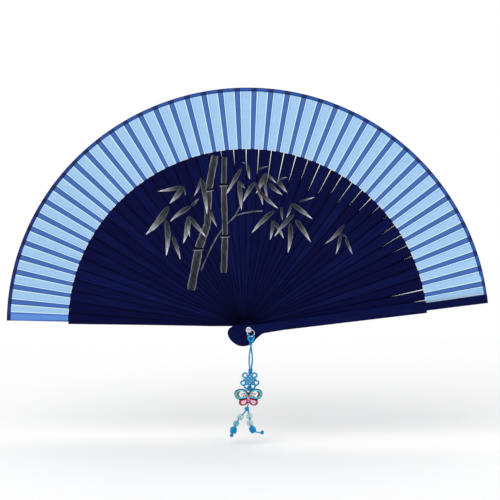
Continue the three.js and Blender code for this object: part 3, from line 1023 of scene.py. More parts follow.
def silk_finish(name, stripe_half, stripe_edge, stripe_middle):
    """Pale silk, darker where a stick shows through it, with a painted line of shade along one crease
    and a painted highlight beside the stripe."""
    crease_shade_blue, highlight_blue, slub_blue = (0.20, 0.45, 0.92), (0.66, 0.90, 1.0), (0.09, 0.21, 0.58)
    colours = bpy.context.scene.fan_colours
    material, make, shader = new_material(name)
    cloth = stored(make, "cloth")
    weave = fine_weave(make, cloth, 0.34 * MM)
    lean = make.split(cloth)[0]
    away = make.math("ABSOLUTE", lean)
    slub = make.ramp(weave["Slub"], 0.34, 0.66)
    silk = make.tint(slub, scaled(0.84, colours.silk), scaled(1.04, colours.silk))
    # Painted shade: a darker blue line along the crease, where the fold would be shaded
    from_crease = make.math("ABSOLUTE", make.math("ADD", lean, CREASE_ANGLE))
    crease = make.ramp(from_crease, 0.24 * DEGREE, 0.10 * DEGREE, 0.0, 0.8)
    silk = make.tint(crease, silk, crease_shade_blue)
    # Painted highlight: a paler blue line just beside each stripe
    highlight_end, highlight_start = stripe_half + 0.30 * DEGREE, stripe_half + 0.18 * DEGREE
    silk = make.tint(make.ramp(away, highlight_end, highlight_start, 0.0, 0.85), silk, highlight_blue)
    to_edge = make.ramp(away, 0.5 * stripe_half, 0.86 * stripe_half)
    stripe = make.tint(to_edge, stripe_middle, stripe_edge)
    stripe = make.tint(make.ramp(weave["Slub"], 0.3, 0.7, 0.0, 0.25), stripe, slub_blue)
    blur = 0.03 * DEGREE
    behind = make.ramp(away, stripe_half + blur, stripe_half - blur)
    make.fill(shader, {
        "Base Color": make.tint(behind, silk, stripe),
        "Roughness": make.blend(weave["Slub"], 0.55, 0.75),
        "Specular IOR Level": 0.2, "Sheen Weight": 0.12,
        "Normal": bump(make, weave["Height"], 0.25, 0.03 * MM),
    })
    return material


def tape_finish(name):
    """The woven tape of the bound edge: darker along both rims and towards the back guard, and
    darkest where a rib is under it."""
    rim_navy, far_navy, rib_navy = (0.006, 0.014, 0.105), (0.007, 0.014, 0.13), (0.004, 0.007, 0.06)
    colours = bpy.context.scene.fan_colours
    material, make, shader = new_material(name)
    cloth = stored(make, "cloth")
    weave = fine_weave(make, cloth, 0.4 * MM)
    lean, radius, _ = make.split(cloth)
    middle = (BINDING_INNER_RADIUS + BINDING_OUTER_RADIUS) / 2
    out = make.math("ABSOLUTE", make.math("SUBTRACT", radius, middle))
    slub = make.ramp(weave["Slub"], 0.3, 0.7)
    tape = make.tint(slub, scaled(0.8, colours.tape), colours.tape)
    tape = make.tint(make.ramp(out, 0.5 * MM, 1.25 * MM, 0.0, 0.85), tape, rim_navy)
    over_rib = make.ramp(make.math("ABSOLUTE", lean), 0.76 * DEGREE, 0.62 * DEGREE, 0.0, 0.78)
    across_fan = make.split(object_point(make))[0]
    far_side = make.ramp(across_fan, -100 * MM, -170 * MM, 0.0, 0.8)
    tape = make.tint(far_side, tape, far_navy)
    make.fill(shader, {
        "Base Color": make.tint(over_rib, tape, rib_navy),
        "Roughness": make.blend(weave["Slub"], 0.6, 0.8), "Specular IOR Level": 0.2,
        "Normal": bump(make, weave["Height"], 0.5, 0.05 * MM),
    })
    return material


def nickel_finish(name):
    """Bright plated metal with faint scratches, and darker patches painted in as reflections."""
    material, make, shader = new_material(name)
    marks = mottle(make, 1.2 * MM)
    make.fill(shader, {
        # Painted reflection: the base colour darkens in patches, standing in for dark surroundings seen
        # in the metal
        "Base Color": make.tint(marks["Patch"], (0.56, 0.58, 0.62), (0.82, 0.83, 0.86)),
        "Metallic": 1.0, "Roughness": make.blend(marks["Grain"], 0.12, 0.3),
        "Normal": bump(make, marks["Grain"], 0.15, 0.02 * MM),
    })
    return material


def cord_finish(name):
    """Smooth braided cord: a slanting plait of fine ribs round it, with painted shade in the grooves
    between the ribs, brighter in patches.
    """
    plait_length, ribs_round = 0.9 * MM, 3
    bright = (0.006, 0.56, 0.86)
    colours = bpy.context.scene.fan_colours
    material, make, shader = new_material(name)
    m = make.math
    uv = make.split(make.add("ShaderNodeUVMap", uv_map="UVMap").outputs[0])
    along = m("MULTIPLY", uv[1], 2 * math.pi / plait_length)
    around = m("MULTIPLY", uv[0], ribs_round * 2 * math.pi)
    one, other = m("SINE", m("ADD", along, around)), m("SINE", m("SUBTRACT", along, around))
    plait = m("MULTIPLY_ADD", m("MULTIPLY", one, other), 0.5, 0.5)
    # Painted shade: the grooves between the plait's ribs are darkened to 0.38 of the cord's blue
    colour = make.tint(make.ramp(plait, 0.1, 0.75), scaled(0.38, colours.cord), colours.cord)
    patch = make.ramp(mottle(make, 2.2 * MM)["Patch"], 0.45, 0.7, 0.0, 0.7)
    make.fill(shader, {
        "Base Color": make.tint(patch, colour, bright),
        "Roughness": make.blend(plait, 0.62, 0.42),
        "Specular IOR Level": 0.2, "Sheen Weight": 0.04,
        "Normal": bump(make, plait, 0.6, 0.08 * MM),
    })
    return material


def enamel_finish(name, deep, light, metallic=0.0, rough=0.18):
    """Fired enamel or metal: two close tones in soft patches under a glossy skin."""
    material, make, shader = new_material(name)
    marks = mottle(make, 1.6 * MM)
    make.fill(shader, {
        "Base Color": make.tint(make.ramp(marks["Patch"], 0.35, 0.65), deep, light),
        "Metallic": metallic, "Roughness": make.blend(marks["Grain"], rough, rough + 0.14),
        "Coat Weight": 0.3, "Coat Roughness": 0.08,
        "Normal": bump(make, marks["Grain"], 0.2, 0.03 * MM),
    })
    return material


def glass_finish(name, deep, light):
    """Tinted cut glass."""
    material, make, shader = new_material(name)
    marks = mottle(make, 1.8 * MM)
    make.fill(shader, {
        "Base Color": make.tint(make.ramp(marks["Patch"], 0.35, 0.65), deep, light),
        "Roughness": make.blend(marks["Grain"], 0.02, 0.1),
        "Metallic": 0.0, "IOR": 1.5, "Transmission Weight": 0.75,
    })
    return material


# Each finish that more than one piece may share: its material's name, its maker and its colours
FINISHES = {
    "lacquer": ("lacquer_plain", lacquer),
    "tape": ("binding_tape", tape_finish),
    "nickel": ("bright_nickel", nickel_finish),
    "cord": ("braided_cord", cord_finish),
    "clear_bead": ("clear_glass", glass_finish, (0.42, 0.80, 0.86), (0.84, 0.97, 0.98)),
    "aqua_bead": ("aqua_glass", glass_finish, (0.12, 0.55, 0.68), (0.35, 0.78, 0.85)),
}


def finish(key):
    """One of those materials, made the first time it is asked for."""
    name, build, *colours = FINISHES[key]
    return bpy.data.materials.get(name) or build(name, *colours)


# --- brushwork ---

# The brushwork, in millimetres from the rivet. Stems are (foot x, foot z, top x, top z, half width),
# joints are the line across a stem from end to end, and twigs end with how much they bend
STEMS = [
    (-45, 28, -39, 62, 3.3), (-39, 63, -32, 82, 3.2), (-32, 82, -31, 110, 2.7),
    (-31, 111, -26, 138, 2.9),
    (-19, 43, -18, 72, 2.6), (-18, 74, -19, 114, 2.3), (-19, 115.5, -18.5, 137, 2.1),
]
JOINTS = [
    (-43.5, 62, -34.5, 62.5), (-34, 110, -27, 111), (-22, 73, -14, 73.5), (-22.5, 114.5, -15.5, 115),
]
TWIGS = [
    (-37, 44, -24, 73, 0.02), (-24.5, 72, -10, 89, 0.04), (-11, 88, -5, 100, -0.03),
    (-12, 88, 1, 92.5, 0.05), (0.5, 92.4, 12, 93.5, 0.03),
]

# Leaves as (foot x, foot z, ((turn in degrees, length, half width), ...)), in millimetres
SPRAYS = [
    (-51, 113, ((191, 21, 1.5), (231, 18, 2.1), (280, 8, 0.8))),
    (-37, 120, ((249, 16, 1.1), (279, 30, 1.9))),
    (-63, 97, ((232, 30, 2.8),)),
    (-45, 97, ((217, 21, 1.9), (46, 9, 1.2))),
    (-65, 86, ((270, 30, 2.2),)),
    (-60, 73, ((288, 21, 1.7),)),
    (-47, 89, ((259, 23, 2.2), (273, 17, 1.4), (309, 22, 1.7))),
    (-31, 97, ((291, 18, 1.3),)),
    (-5, 128, ((240, 25, 1.6),)),
    (-7, 118, ((275, 24, 1.9), (308, 8, 1.2))),
    (0.5, 131, ((276, 12, 1.2), (160, 5, 0.6))),
    (7, 126.5, ((18, 10, 0.7),)),
    (14, 124, ((246, 18, 1.7), (275, 23, 1.3), (318, 12, 1.2))),
    (24, 119, ((306, 13, 1.6), (14, 8, 0.8))),
    (17, 116, ((319, 14, 1.6),)),
    (6, 117, ((240, 19, 1.6), (288, 20, 1.4))),
    (9, 110, ((317, 21, 1.5),)),
    (21, 94, ((226, 26, 1.9),)),
    (20, 86, ((262, 16, 1.4), (301, 17, 1.4))),
    (27, 97, ((275, 11, 1.1),)),
    (35, 100, ((250, 13, 0.9), (323, 21, 1.7))),
    (41, 101, ((17, 13, 0.7),)),
    (37, 91, ((229, 24, 1.6),)),
    (34, 84, ((265, 24, 1.9),)),
    (38, 87, ((304, 22, 1.9),)),
    (77, 83, ((225, 22, 1.4),)),
    (74, 76, ((257, 17, 1.2), (330, 6, 0.6))),
    (78, 73, ((292, 15, 1.2),)),
]

LONG_LEAF = 11  # leaves longer than this end in a whiter tip
LONG_TIP_TONE, SHORT_TIP_TONE = 1.45, 0.55
LEAF_BEND = 0.05  # the most that a leaf may bow, as a share of its length

# Tones of a stroke's base, tip and rims, from 0 for ink to 1 for white
TWIG_TONES = (0.16, 0.30, 0.1)
STEM_TONES = (0.045, 0.07, 0.85)
JOINT_GAP_TONES = (0.0, 0.0, 0.03)
JOINT_LINE_TONES = (0.34, 0.26, 0.1)
LEAF_BASE_TONE, LEAF_RIM_TONE = 0.035, 0.40
JOINT_LINE_DROP = 0.9  # how far a joint's pale line is below its dark one


def stroke_between(x, z, to_x, to_z, half, taper, tones, bend=0.0):
    """A stroke's values for the brush. A taper near 0 keeps its width even from end to end."""
    return {
        "Base X": x * MM, "Base Z": z * MM, "Turn": math.atan2(to_z - z, to_x - x),
        "Length": math.hypot(to_x - x, to_z - z) * MM, "Half Width": half * MM,
        "Bend": bend, "Taper": taper,
        "Base Tone": tones[0], "Tip Tone": tones[1], "Rim Tone": tones[2],
    }


def brushwork():
    """Every stroke of the painting, from the first laid to the last."""
    bends = random.Random(5)
    strokes = []
    for *ends, bend in TWIGS:
        strokes.append(stroke_between(*ends, 0.5, 0.06, TWIG_TONES, bend))
    for *ends, half in STEMS:
        strokes.append(stroke_between(*ends, half, 0.05, STEM_TONES))
    for x, z, to_x, to_z in JOINTS:
        strokes.append(stroke_between(x, z, to_x, to_z, 0.8, 0.1, JOINT_GAP_TONES))
        lower = (x, z - JOINT_LINE_DROP, to_x, to_z - JOINT_LINE_DROP)
        strokes.append(stroke_between(*lower, 0.36, 0.3, JOINT_LINE_TONES, -0.05))
    for x, z, leaves in SPRAYS:
        for turn, length, half in leaves:
            end = (x + length * math.cos(turn * DEGREE), z + length * math.sin(turn * DEGREE))
            bend = bends.uniform(-LEAF_BEND, LEAF_BEND)
            tip = LONG_TIP_TONE if length > LONG_LEAF else SHORT_TIP_TONE
            leaf_tones = (LEAF_BASE_TONE, tip, LEAF_RIM_TONE)
            strokes.append(stroke_between(x, z, *end, half, 1.0, leaf_tones, bend))
    return strokes


BRUSH_REACH = 6.1 * MM  # a slat's half width and a little more


def crosses(stroke, stick):
    """Whether a stroke passes over a slat, with a little to spare."""
    reach = BRUSH_REACH + stroke["Half Width"]
    steps = 8
    for step in range(steps + 1):
        run = stroke["Length"] * step / steps
        x = stroke["Base X"] + run * math.cos(stroke["Turn"])
        z = stroke["Base Z"] + run * math.sin(stroke["Turn"])
        radius = math.hypot(x, z)
        off = abs(math.remainder(math.atan2(z, x) - stick.angle, 2 * math.pi)) * radius
        if off < reach and radius < SHOULDER_RADIUS + 4 * MM:
            return True
    return False


# --- pieces ---


def claim(piece, body, slot, *nodes):
    """Hands a finished piece to the frame: its body and the nodes it stands for, which it hides. Its
    finish slot is not used.
    """
    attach(piece, body)
    if nodes:
        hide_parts(*nodes)
    return piece


def stick_across(stick):
    """The direction across a stick, in the fan's plane."""
    return Vector((-math.sin(stick.angle), 0, math.cos(stick.angle)))


def stick_along(stick):
    """The direction from the rivet to a stick's tip."""
    return Vector((math.cos(stick.angle), 0, math.sin(stick.angle)))


class FAN_OT_camera_and_stage(bpy.types.Operator):
    """Sets the camera, the soft lights, the pale floor and the white surroundings"""

    bl_idname = "fan.camera_and_stage"
    bl_label = "Camera and stage"

    def execute(self, context):
        scene = context.scene
        scene.view_settings.view_transform = "Standard"
        self.add_camera(scene)
        self.add_world(scene)
        self.add_lights(scene)
        self.add_floor()
        return {"FINISHED"}

    def add_camera(self, scene):
        data = bpy.data.cameras.new("camera")
        data.sensor_width = 36
        data.lens = 400
        camera = bpy.data.objects.new("camera", data)
        scene.collection.objects.link(camera)
        target = Vector((0.9 * MM, -20.5 * MM, 65 * MM))
        rise, turn, distance = 9 * DEGREE, -3 * DEGREE, 4.43
        level = Vector((math.sin(turn), -math.cos(turn), 0)) * math.cos(rise)
        camera.location = target + distance * (level + Vector((0, 0, math.sin(rise))))
        camera.rotation_euler = (math.pi / 2 - rise, 0, turn)
        scene.camera = camera

    def add_world(self, scene):
        world = bpy.data.worlds.new("studio")
        world.use_nodes = True
        world.node_tree.nodes.clear()
        make = NodeMaker(world.node_tree)
        seen = make.add("ShaderNodeLightPath").outputs["Is Camera Ray"]
        ambient, background = 0.62, 1.0
        strength = make.blend(seen, ambient, background)
        sky = make.add("ShaderNodeBackground", {"Color": (1, 1, 1, 1), "Strength": strength})
        output = make.add("ShaderNodeOutputWorld")
        make.put(output.inputs["Surface"], sky.outputs[0])
        scene.world = world

    def add_lights(self, scene):
        rows = [  # name, place it shines from, softness in degrees, power
            ("key_light", (-0.55, -0.75, 1.0), 50, 0.95),
            ("fill_light", (0.8, -0.6, 1.0), 60, 0.35),
            ("top_light", (0.1, 0.5, 1.6), 40, 0.45),
        ]
        for name, place, softness, power in rows:
            data = bpy.data.lights.new(name, "SUN")
            data.angle = softness * DEGREE
            data.energy = power
            light = bpy.data.objects.new(name, data)
            scene.collection.objects.link(light)
            light.location = place
            light.rotation_euler = (-light.location).to_track_quat("-Z", "Y").to_euler()

    def add_floor(self):
        half, height = 14.0, CAD_BOX[0].z - 6 * MM
        corners = [(x * half, y * half, height) for x, y in ((-1, -1), (1, -1), (1, 1), (-1, 1))]
        mesh = bpy.data.meshes.new("floor")
        mesh.from_pydata(corners, [], [(0, 1, 2, 3)])
        material, make, shader = new_material("pale_floor")
        marks = mottle(make, 300 * MM)
        make.fill(shader, {
            "Base Color": make.tint(marks["Patch"], [0.955] * 3, [0.97] * 3),
            "Roughness": 0.9, "Specular IOR Level": 0.1,
        })
        link_object("floor", mesh, material)


# The hanging cord's route as (x, z, y in front of or behind the ring), in millimetres: up from the
# knot, round the ring's low wire on one side, across the front as a cow hitch, and down again
HANGER_ROUTE = [
    (1.0, -34.4, -0.4), (0.7, -31.5, -0.7), (0.15, -25, -1.1), (0.35, -20, -1.0), (1.0, -15.5, -0.8),
    (1.8, -12, -0.3), (2.35, -9.3, 0.55), (2.4, -6.8, 1.05), (2.7, -5.1, 1.05), (3.1, -3.75, 0.2),
    (3.65, -4.3, -1.0), (3.9, -6.1, -1.15), (3.1, -7.8, -1.1), (1.61, -8.6, -1.05), (0.1, -7.8, -1.1),
    (-0.7, -6.1, -1.15), (-0.45, -4.3, -1.0), (0.1, -3.75, 0.2), (0.5, -5.1, 1.05), (0.82, -6.8, 1.1),
    (0.86, -9.3, 1.25), (1.3, -12, 1.4), (2.1, -15.5, 1.2), (2.6, -20, 1.0), (2.75, -25, 0.9),
    (1.9, -31.5, 0.6), (1.4, -34.4, 0.4),
]


class FAN_OT_hanger_cord(bpy.types.Operator):
    """Ties the hanging cord to the ring with a cow hitch"""

    bl_idname = "fan.hanger_cord"
    bl_label = "Hanging cord"

    def execute(self, context):
        line = smooth_line([in_charm(*point) for point in HANGER_ROUTE], 5)
        mesh = tube_mesh("hanging_cord", line, CORD_RADIUS, sides=12)
        cord = link_object("hanging_cord", mesh, finish("cord"))
        claim(cord, "charm", "cord", "hanger_cord")
        return {"FINISHED"}


# The two tails are one cord that runs up through the collar and down again
TAIL_ROUTE = [
    (*LEFT_END, 0), (-13.4, -83.4, 0), (*LEFT_KNOT, 0), (-11.4, -78.2, 0), (-10.3, -75.6, 0),
    (-8.8, -73.2, 0), (-6.8, -70.3, 0), (-4.9, -68.1, 0), (-3.4, -66.4, 0), (-2.5, -64.6, 0),
    (-1.5, -63.5, 0), (-0.6, -64.6, 0), (-0.3, -66.6, 0), (0.3, -69.6, 0), (0.7, -72.4, 0),
    (0.9, -75.2, 0), (1.7, -78, 0), (*RIGHT_KNOT, 0), (5.3, -82.4, 0), (8.2, -83.1, 0),
    (*RIGHT_END, 0),
]

# Each glass bead as node, (x, z), radius, the way its hole points, and finish
GLASS_BEADS = [
    ("bead_left_upper", (-6.8, -70.3), 2.7, (-0.78, 0, -1), "clear_bead"),
    ("bead_left_lower", (-10.3, -75.6), 2.5, (-0.5, 0, -1), "aqua_bead"),
    ("bead_right_upper", (0.3, -69.6), 2.5, (0.17, 0, -1), "clear_bead"),
    ("bead_right_lower", (0.9, -75.2), 2.7, (0.15, 0, -1), "clear_bead"),
]
# A bead's outline from the upper end of its hole to the lower, as shares of its radius
BEAD_PROFILE = [
    (0.25, 0.92), (0.62, 0.86), (0.95, 0.42), (1.0, 0.0), (0.95, -0.42), (0.62, -0.86), (0.25, -0.92),
]
BEAD_FACETS = 10
# Each knot in the tails as name, (x, z), radius, the way the cord runs, and stretch along it
TAIL_KNOTS = [
    ("tail_knot_left", LEFT_KNOT, 2.9, (-0.3, 0, -1), 1.22),
    ("tail_knot_right", RIGHT_KNOT, 2.8, (0.35, 0, -1), 1.25),
    ("tail_end_left", LEFT_END, 1.55, (-0.3, 0, -1), 1.0),
    ("tail_end_right", RIGHT_END, 1.6, (1, 0, -0.3), 1.0),
]


class FAN_OT_tails(bpy.types.Operator):
    """Makes the two tails, their glass beads and the knots tied in them"""

    bl_idname = "fan.tails"
    bl_label = "Tails and beads"

    def execute(self, context):
        line = smooth_line([in_charm(*point) for point in TAIL_ROUTE], 5)
        mesh = tube_mesh("tail_cords", line, TAIL_RADIUS, sides=12)
        tails = link_object("tail_cords", mesh, finish("cord"))
        claim(tails, "tails", "cord", "tail_cord_left", "tail_cord_right")
        beads = [self.add_bead(*row) for row in GLASS_BEADS]
        beads += [self.add_knot(*row) for row in TAIL_KNOTS]
        return {"FINISHED"}

    def add_bead(self, node, centre, radius, aim, slot):
        """A cut bead with a straight hole and flat facets."""
        profile = [(radius * MM * out, radius * MM * up) for out, up in BEAD_PROFILE]
        mesh = lathe_mesh(node, profile, BEAD_FACETS, flat=True)
        settle(mesh, in_charm(*centre), Vector(aim))
        bead = link_object(f"{node}_glass", mesh, finish(slot))
        return claim(bead, "tails", slot, node)

    def add_knot(self, name, centre, radius, aim, stretch):
        """A knot tied round and round into a ball, over a core of the same cord."""
        radius *= MM
        strand = 0.27 * radius
        core = 0.86 * (radius - strand)
        mesh = woven_ball(
            name, radius, strand, core, leads=3, bights=5, lean=0.98, wave=0.10,
            steps=150, sides=(7, 16), stretch=stretch,
        )
        settle(mesh, in_charm(*centre), Vector(aim))
        return claim(link_object(name, mesh, finish("cord")), "tails", "cord")


class FAN_OT_slats(bpy.types.Operator):
    """Makes the slats, each with its lacquer and its share of the painting"""

    bl_idname = "fan.slats"
    bl_label = "Slats"

    def execute(self, context):
        sizes = context.scene.fan_sizes
        tree = tree_named("Slat", build_slat_tree)
        strokes = brushwork()
        scatter = random.Random(11)
        plain = finish("lacquer")
        for stick in STICKS[1:-1]:
            slim = (stick.number - SLIM_FROM) / (SLIM_AFTER - SLIM_FROM)
            slim = min(max(slim, 0), 1)
            shoulder = sizes.wide_shoulder + slim * (sizes.slim_shoulder - sizes.wide_shoulder)
            shoulder += slim * sizes.shoulder_scatter * scatter.uniform(-1, 1)
            if stick is STICKS[-2]:
                shoulder -= LAST_SLAT_GAP
            neck = NECK_HALF - slim * sizes.neck_scatter * scatter.uniform(-0.1, 1)
            own = [stroke for stroke in strokes if crosses(stroke, stick)]
            material = lacquer(f"lacquer_painted_{stick.number:02}", own) if own else plain
            slat = grow(tree, f"{stick.node}_slat", {
                "Shoulder Half": shoulder, "Neck Half": neck, "Flare Power": 1 + slim,
                "Thickness": stick.thickness, "Number": float(stick.number),
                "Edge Rounding": sizes.slat_edge, "Angle": stick.angle, "Depth": stick.depth,
                "Material": material,
            })
            claim(slat, stick.body, "lacquered_wood", stick.node)
        return {"FINISHED"}


class FAN_OT_guards(bpy.types.Operator):
    """Makes the two thick guards with rounded edges"""

    bl_idname = "fan.guards"
    bl_label = "Guards"

    def execute(self, context):
        for stick in (STICKS[0], STICKS[-1]):
            self.add_guard(stick, context.scene.fan_sizes.guard_edge)
        return {"FINISHED"}

    def add_guard(self, stick, edge):
        """A guard from its own CAD shape, with its rims rounded off."""
        name = f"{stick.node}_stick"
        bm = bmesh.new()
        bm.from_mesh(frame["nodes"][stick.node].data)
        bmesh.ops.remove_doubles(bm, verts=bm.verts, dist=WELD)
        bmesh.ops.dissolve_limit(bm, angle_limit=1 * DEGREE, verts=bm.verts, edges=bm.edges)
        rims = [e for e in bm.edges if self.is_rim(e)]
        bmesh.ops.bevel(bm, geom=rims, offset=edge, segments=3, profile=0.5, affect="EDGES",
                        clamp_overlap=True)
        for face in bm.faces:
            face.smooth = True
            face.material_index = 0
        for e in bm.edges:
            e.smooth = not self.bends_by(e, 32 * DEGREE)
        bmesh.ops.recalc_face_normals(bm, faces=bm.faces)
        mesh = mesh_from(name, bm)
        self.mark_board(mesh, stick)
        guard = link_object(name, mesh, finish("lacquer"))
        claim(guard, stick.body, "lacquered_wood", stick.node)

    def bends_by(self, e, angle):
        """Whether the faces on both sides of an edge meet at more than that angle."""
        return len(e.link_faces) == 2 and e.calc_face_angle() > angle

    def is_rim(self, e):
        """Whether an edge runs round the front or back face, and not round the rivet's hole."""
        start, end = (vertex.co for vertex in e.verts)
        level = abs((start - end).y) < WELD
        return self.bends_by(e, 60 * DEGREE) and level and start.xz.length > 2 * PIVOT_HOLE_RADIUS

    def mark_board(self, mesh, stick):
        """Marks the points as the slats' tree does: along, share across and signed number."""
        along, across = stick_along(stick), stick_across(stick)
        board = mesh.attributes.new("board", "FLOAT_VECTOR", "POINT")
        for vertex, mark in zip(mesh.vertices, board.data):
            out = vertex.co.dot(along)
            half = GUARD_NECK_HALF + GUARD_FLARE * min(max(out / SHOULDER_RADIUS, 0), 1)
            share = vertex.co.dot(across) / half
            front = stick.number + 1.0 if vertex.co.y < stick.depth else -stick.number - 1.0
            # The share across is scaled down so that the lacquer's painted edge shade stays off the guard
            mark.vector = (out, GUARD_EDGE_SHADE_SHARE * min(max(share, -1), 1), front)


class FAN_OT_rivet(bpy.types.Operator):
    """Makes the rivet with its eye, the cap behind it and the hanging ring"""

    bl_idname = "fan.rivet"
    bl_label = "Rivet and ring"

    def execute(self, context):
        base = -FRONT_FACE + HEAD_GAP
        foot = -BACK_FACE - HEAD_GAP
        profile = [(0, foot), (SHAFT_RADIUS, foot), (SHAFT_RADIUS, base), *self.dome(base)]
        shaft = lathe_mesh("rivet_shaft", profile, RIVET_SIDES)
        shaft.transform(Matrix.Rotation(math.pi / 2, 4, "X"))
        tangent = Vector((-RING_CENTRE[1], 0, RING_CENTRE[0])).normalized()
        eye = self.hoop("rivet_eye", EYE_RADIUS, EYE_WIRE_RADIUS, in_charm(0, 0), tangent)
        mesh = join_meshes("rivet_with_eye", [(0, shaft), (0, eye)])
        rivet = link_object("rivet_with_eye", mesh, finish("nickel"))
        claim(rivet, "root", "nickel", "rivet")
        cap = lathe_mesh("rivet_back_cap", [(0, 0), *self.dome(0)], RIVET_SIDES)
        cap.transform(Matrix.Rotation(-math.pi / 2, 4, "X"))
        cap.transform(Matrix.Translation((0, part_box("rivet_cap")[0].y, 0)))
        claim(link_object("rivet_back_cap", cap, finish("nickel")), "root", "nickel", "rivet_cap")
        centre, axis = in_charm(*RING_CENTRE), Vector((0, -1, 0))
        ring = self.hoop("split_ring", RING_RADIUS, RING_WIRE_RADIUS, centre, axis)
        claim(link_object("split_ring", ring, finish("nickel")), "ring", "nickel", "hanging_ring")
        return {"FINISHED"}

    def dome(self, base):
        """The head's outline from its lower rim up to its middle."""
        chamfer = 0.1 * MM
        points = [(RIVET_HEAD_RADIUS - chamfer, base), (RIVET_HEAD_RADIUS, base + chamfer)]
        steps = 8
        for k in range(steps + 1):
            turn = math.pi / 2 * k / steps
            rise = 0.35 + 0.65 * math.sin(turn)
            points.append((RIVET_HEAD_RADIUS * math.cos(turn), base + RIVET_HEAD_HEIGHT * rise))
        points[-1] = (0, points[-1][1])
        return points

    def hoop(self, name, radius, wire, centre, axis):
        """A closed ring of round wire."""
        turns = even_turns(HOOP_STEPS)
        line = [Vector((radius * math.cos(turn), radius * math.sin(turn), 0)) for turn in turns]
        return settle(tube_mesh(name, line, wire, sides=14, closed=True), centre, axis)


class FAN_OT_leaf(bpy.types.Operator):
    """Pleats the silk leaf and binds its edge, one stretch to a stick"""

    bl_idname = "fan.leaf"
    bl_label = "Silk leaf and bound edge"

    def execute(self, context):
        sizes = context.scene.fan_sizes
        colours = context.scene.fan_colours
        silk_tree = tree_named("Silk Pleat", build_silk_tree)
        tape_tree = tree_named("Bound Edge", build_tape_tree)
        middle, edge = colours.silk_stripe, scaled(0.36, colours.silk_stripe)
        guard_middle, guard_edge = (0.11, 0.27, 0.72), (0.045, 0.12, 0.46)
        over_rib = silk_finish("silk_over_rib", RIB_STRIPE_HALF, edge, middle)
        over_guard = silk_finish("silk_over_guard", GUARD_STRIPE_HALF, guard_edge, guard_middle)
        for stick in STICKS:
            ends = self.neighbours(stick)
            ends |= {"Angle": stick.angle, "Depth": leaf_depth(stick), "Seed": stick.number * 1.9}
            rib = stick not in (STICKS[0], STICKS[-1])
            squeezed = LAST_SQUEEZE if stick in STICKS[-2:] else 1
            silk = grow(silk_tree, f"silk_pleat_{stick.number:02}", {
                **ends, "Thickness": sizes.silk_thickness, "Ripple": squeezed * sizes.silk_ripple,
                "Material": over_rib if rib else over_guard,
            })
            bound = grow(tape_tree, f"bound_edge_{stick.number:02}", {
                **ends, "Depth": leaf_depth(stick) - sizes.silk_thickness / 2,
                "Inner Radius": BINDING_INNER_RADIUS, "Outer Radius": BINDING_OUTER_RADIUS,
                "Thickness": squeezed * sizes.tape_thickness, "Material": finish("tape"),
            })
            self.fold(silk, stick, "silk", "silk_leaf")
            self.fold(bound, stick, "binding", "edge_binding")
        return {"FINISHED"}

    def fold(self, piece, stick, slot, node):
        """The piece turns with its stick, on a mesh of its own."""
        claim(piece, stick.body, slot, node)
        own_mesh(piece)

    def neighbours(self, stick):
        """Halfway to the sticks on both sides, or the leaf's own end beside a guard."""
        found = {}
        for label, step in (("Earlier", -1), ("Later", 1)):
            number = stick.number + step
            if 0 <= number < len(STICKS):
                other = STICKS[number]
                half = abs(other.angle - stick.angle) / 2
                depth = (leaf_depth(other) + leaf_depth(stick)) / 2
            else:
                half, depth = END_REACH * CREASE_ANGLE, leaf_depth(stick)
            found[f"{label} Half Angle"] = half
            found[f"{label} Depth"] = depth
        return found


# The diamond knot in millimetres: strands 2 mm apart, four rows each way
KNOT_STRAND = 0.68
KNOT_ROWS = (1.5, 0.5, -0.5, -1.5)
KNOT_PITCH = 2.0
KNOT_HALF = 4.0
KNOT_RISE = 0.62  # how far a strand lifts or dips where it crosses another
# An ear's points between two rows: how far out, and how many rows aside
KNOT_EAR = ((1.1, 0.40), (2.5, 0.30), (3.15, -0.5), (2.5, -1.30), (1.1, -1.40))
WRAP_PITCH = 1.05
WRAP_STRAND = 0.52
WRAP_STEPS = 14


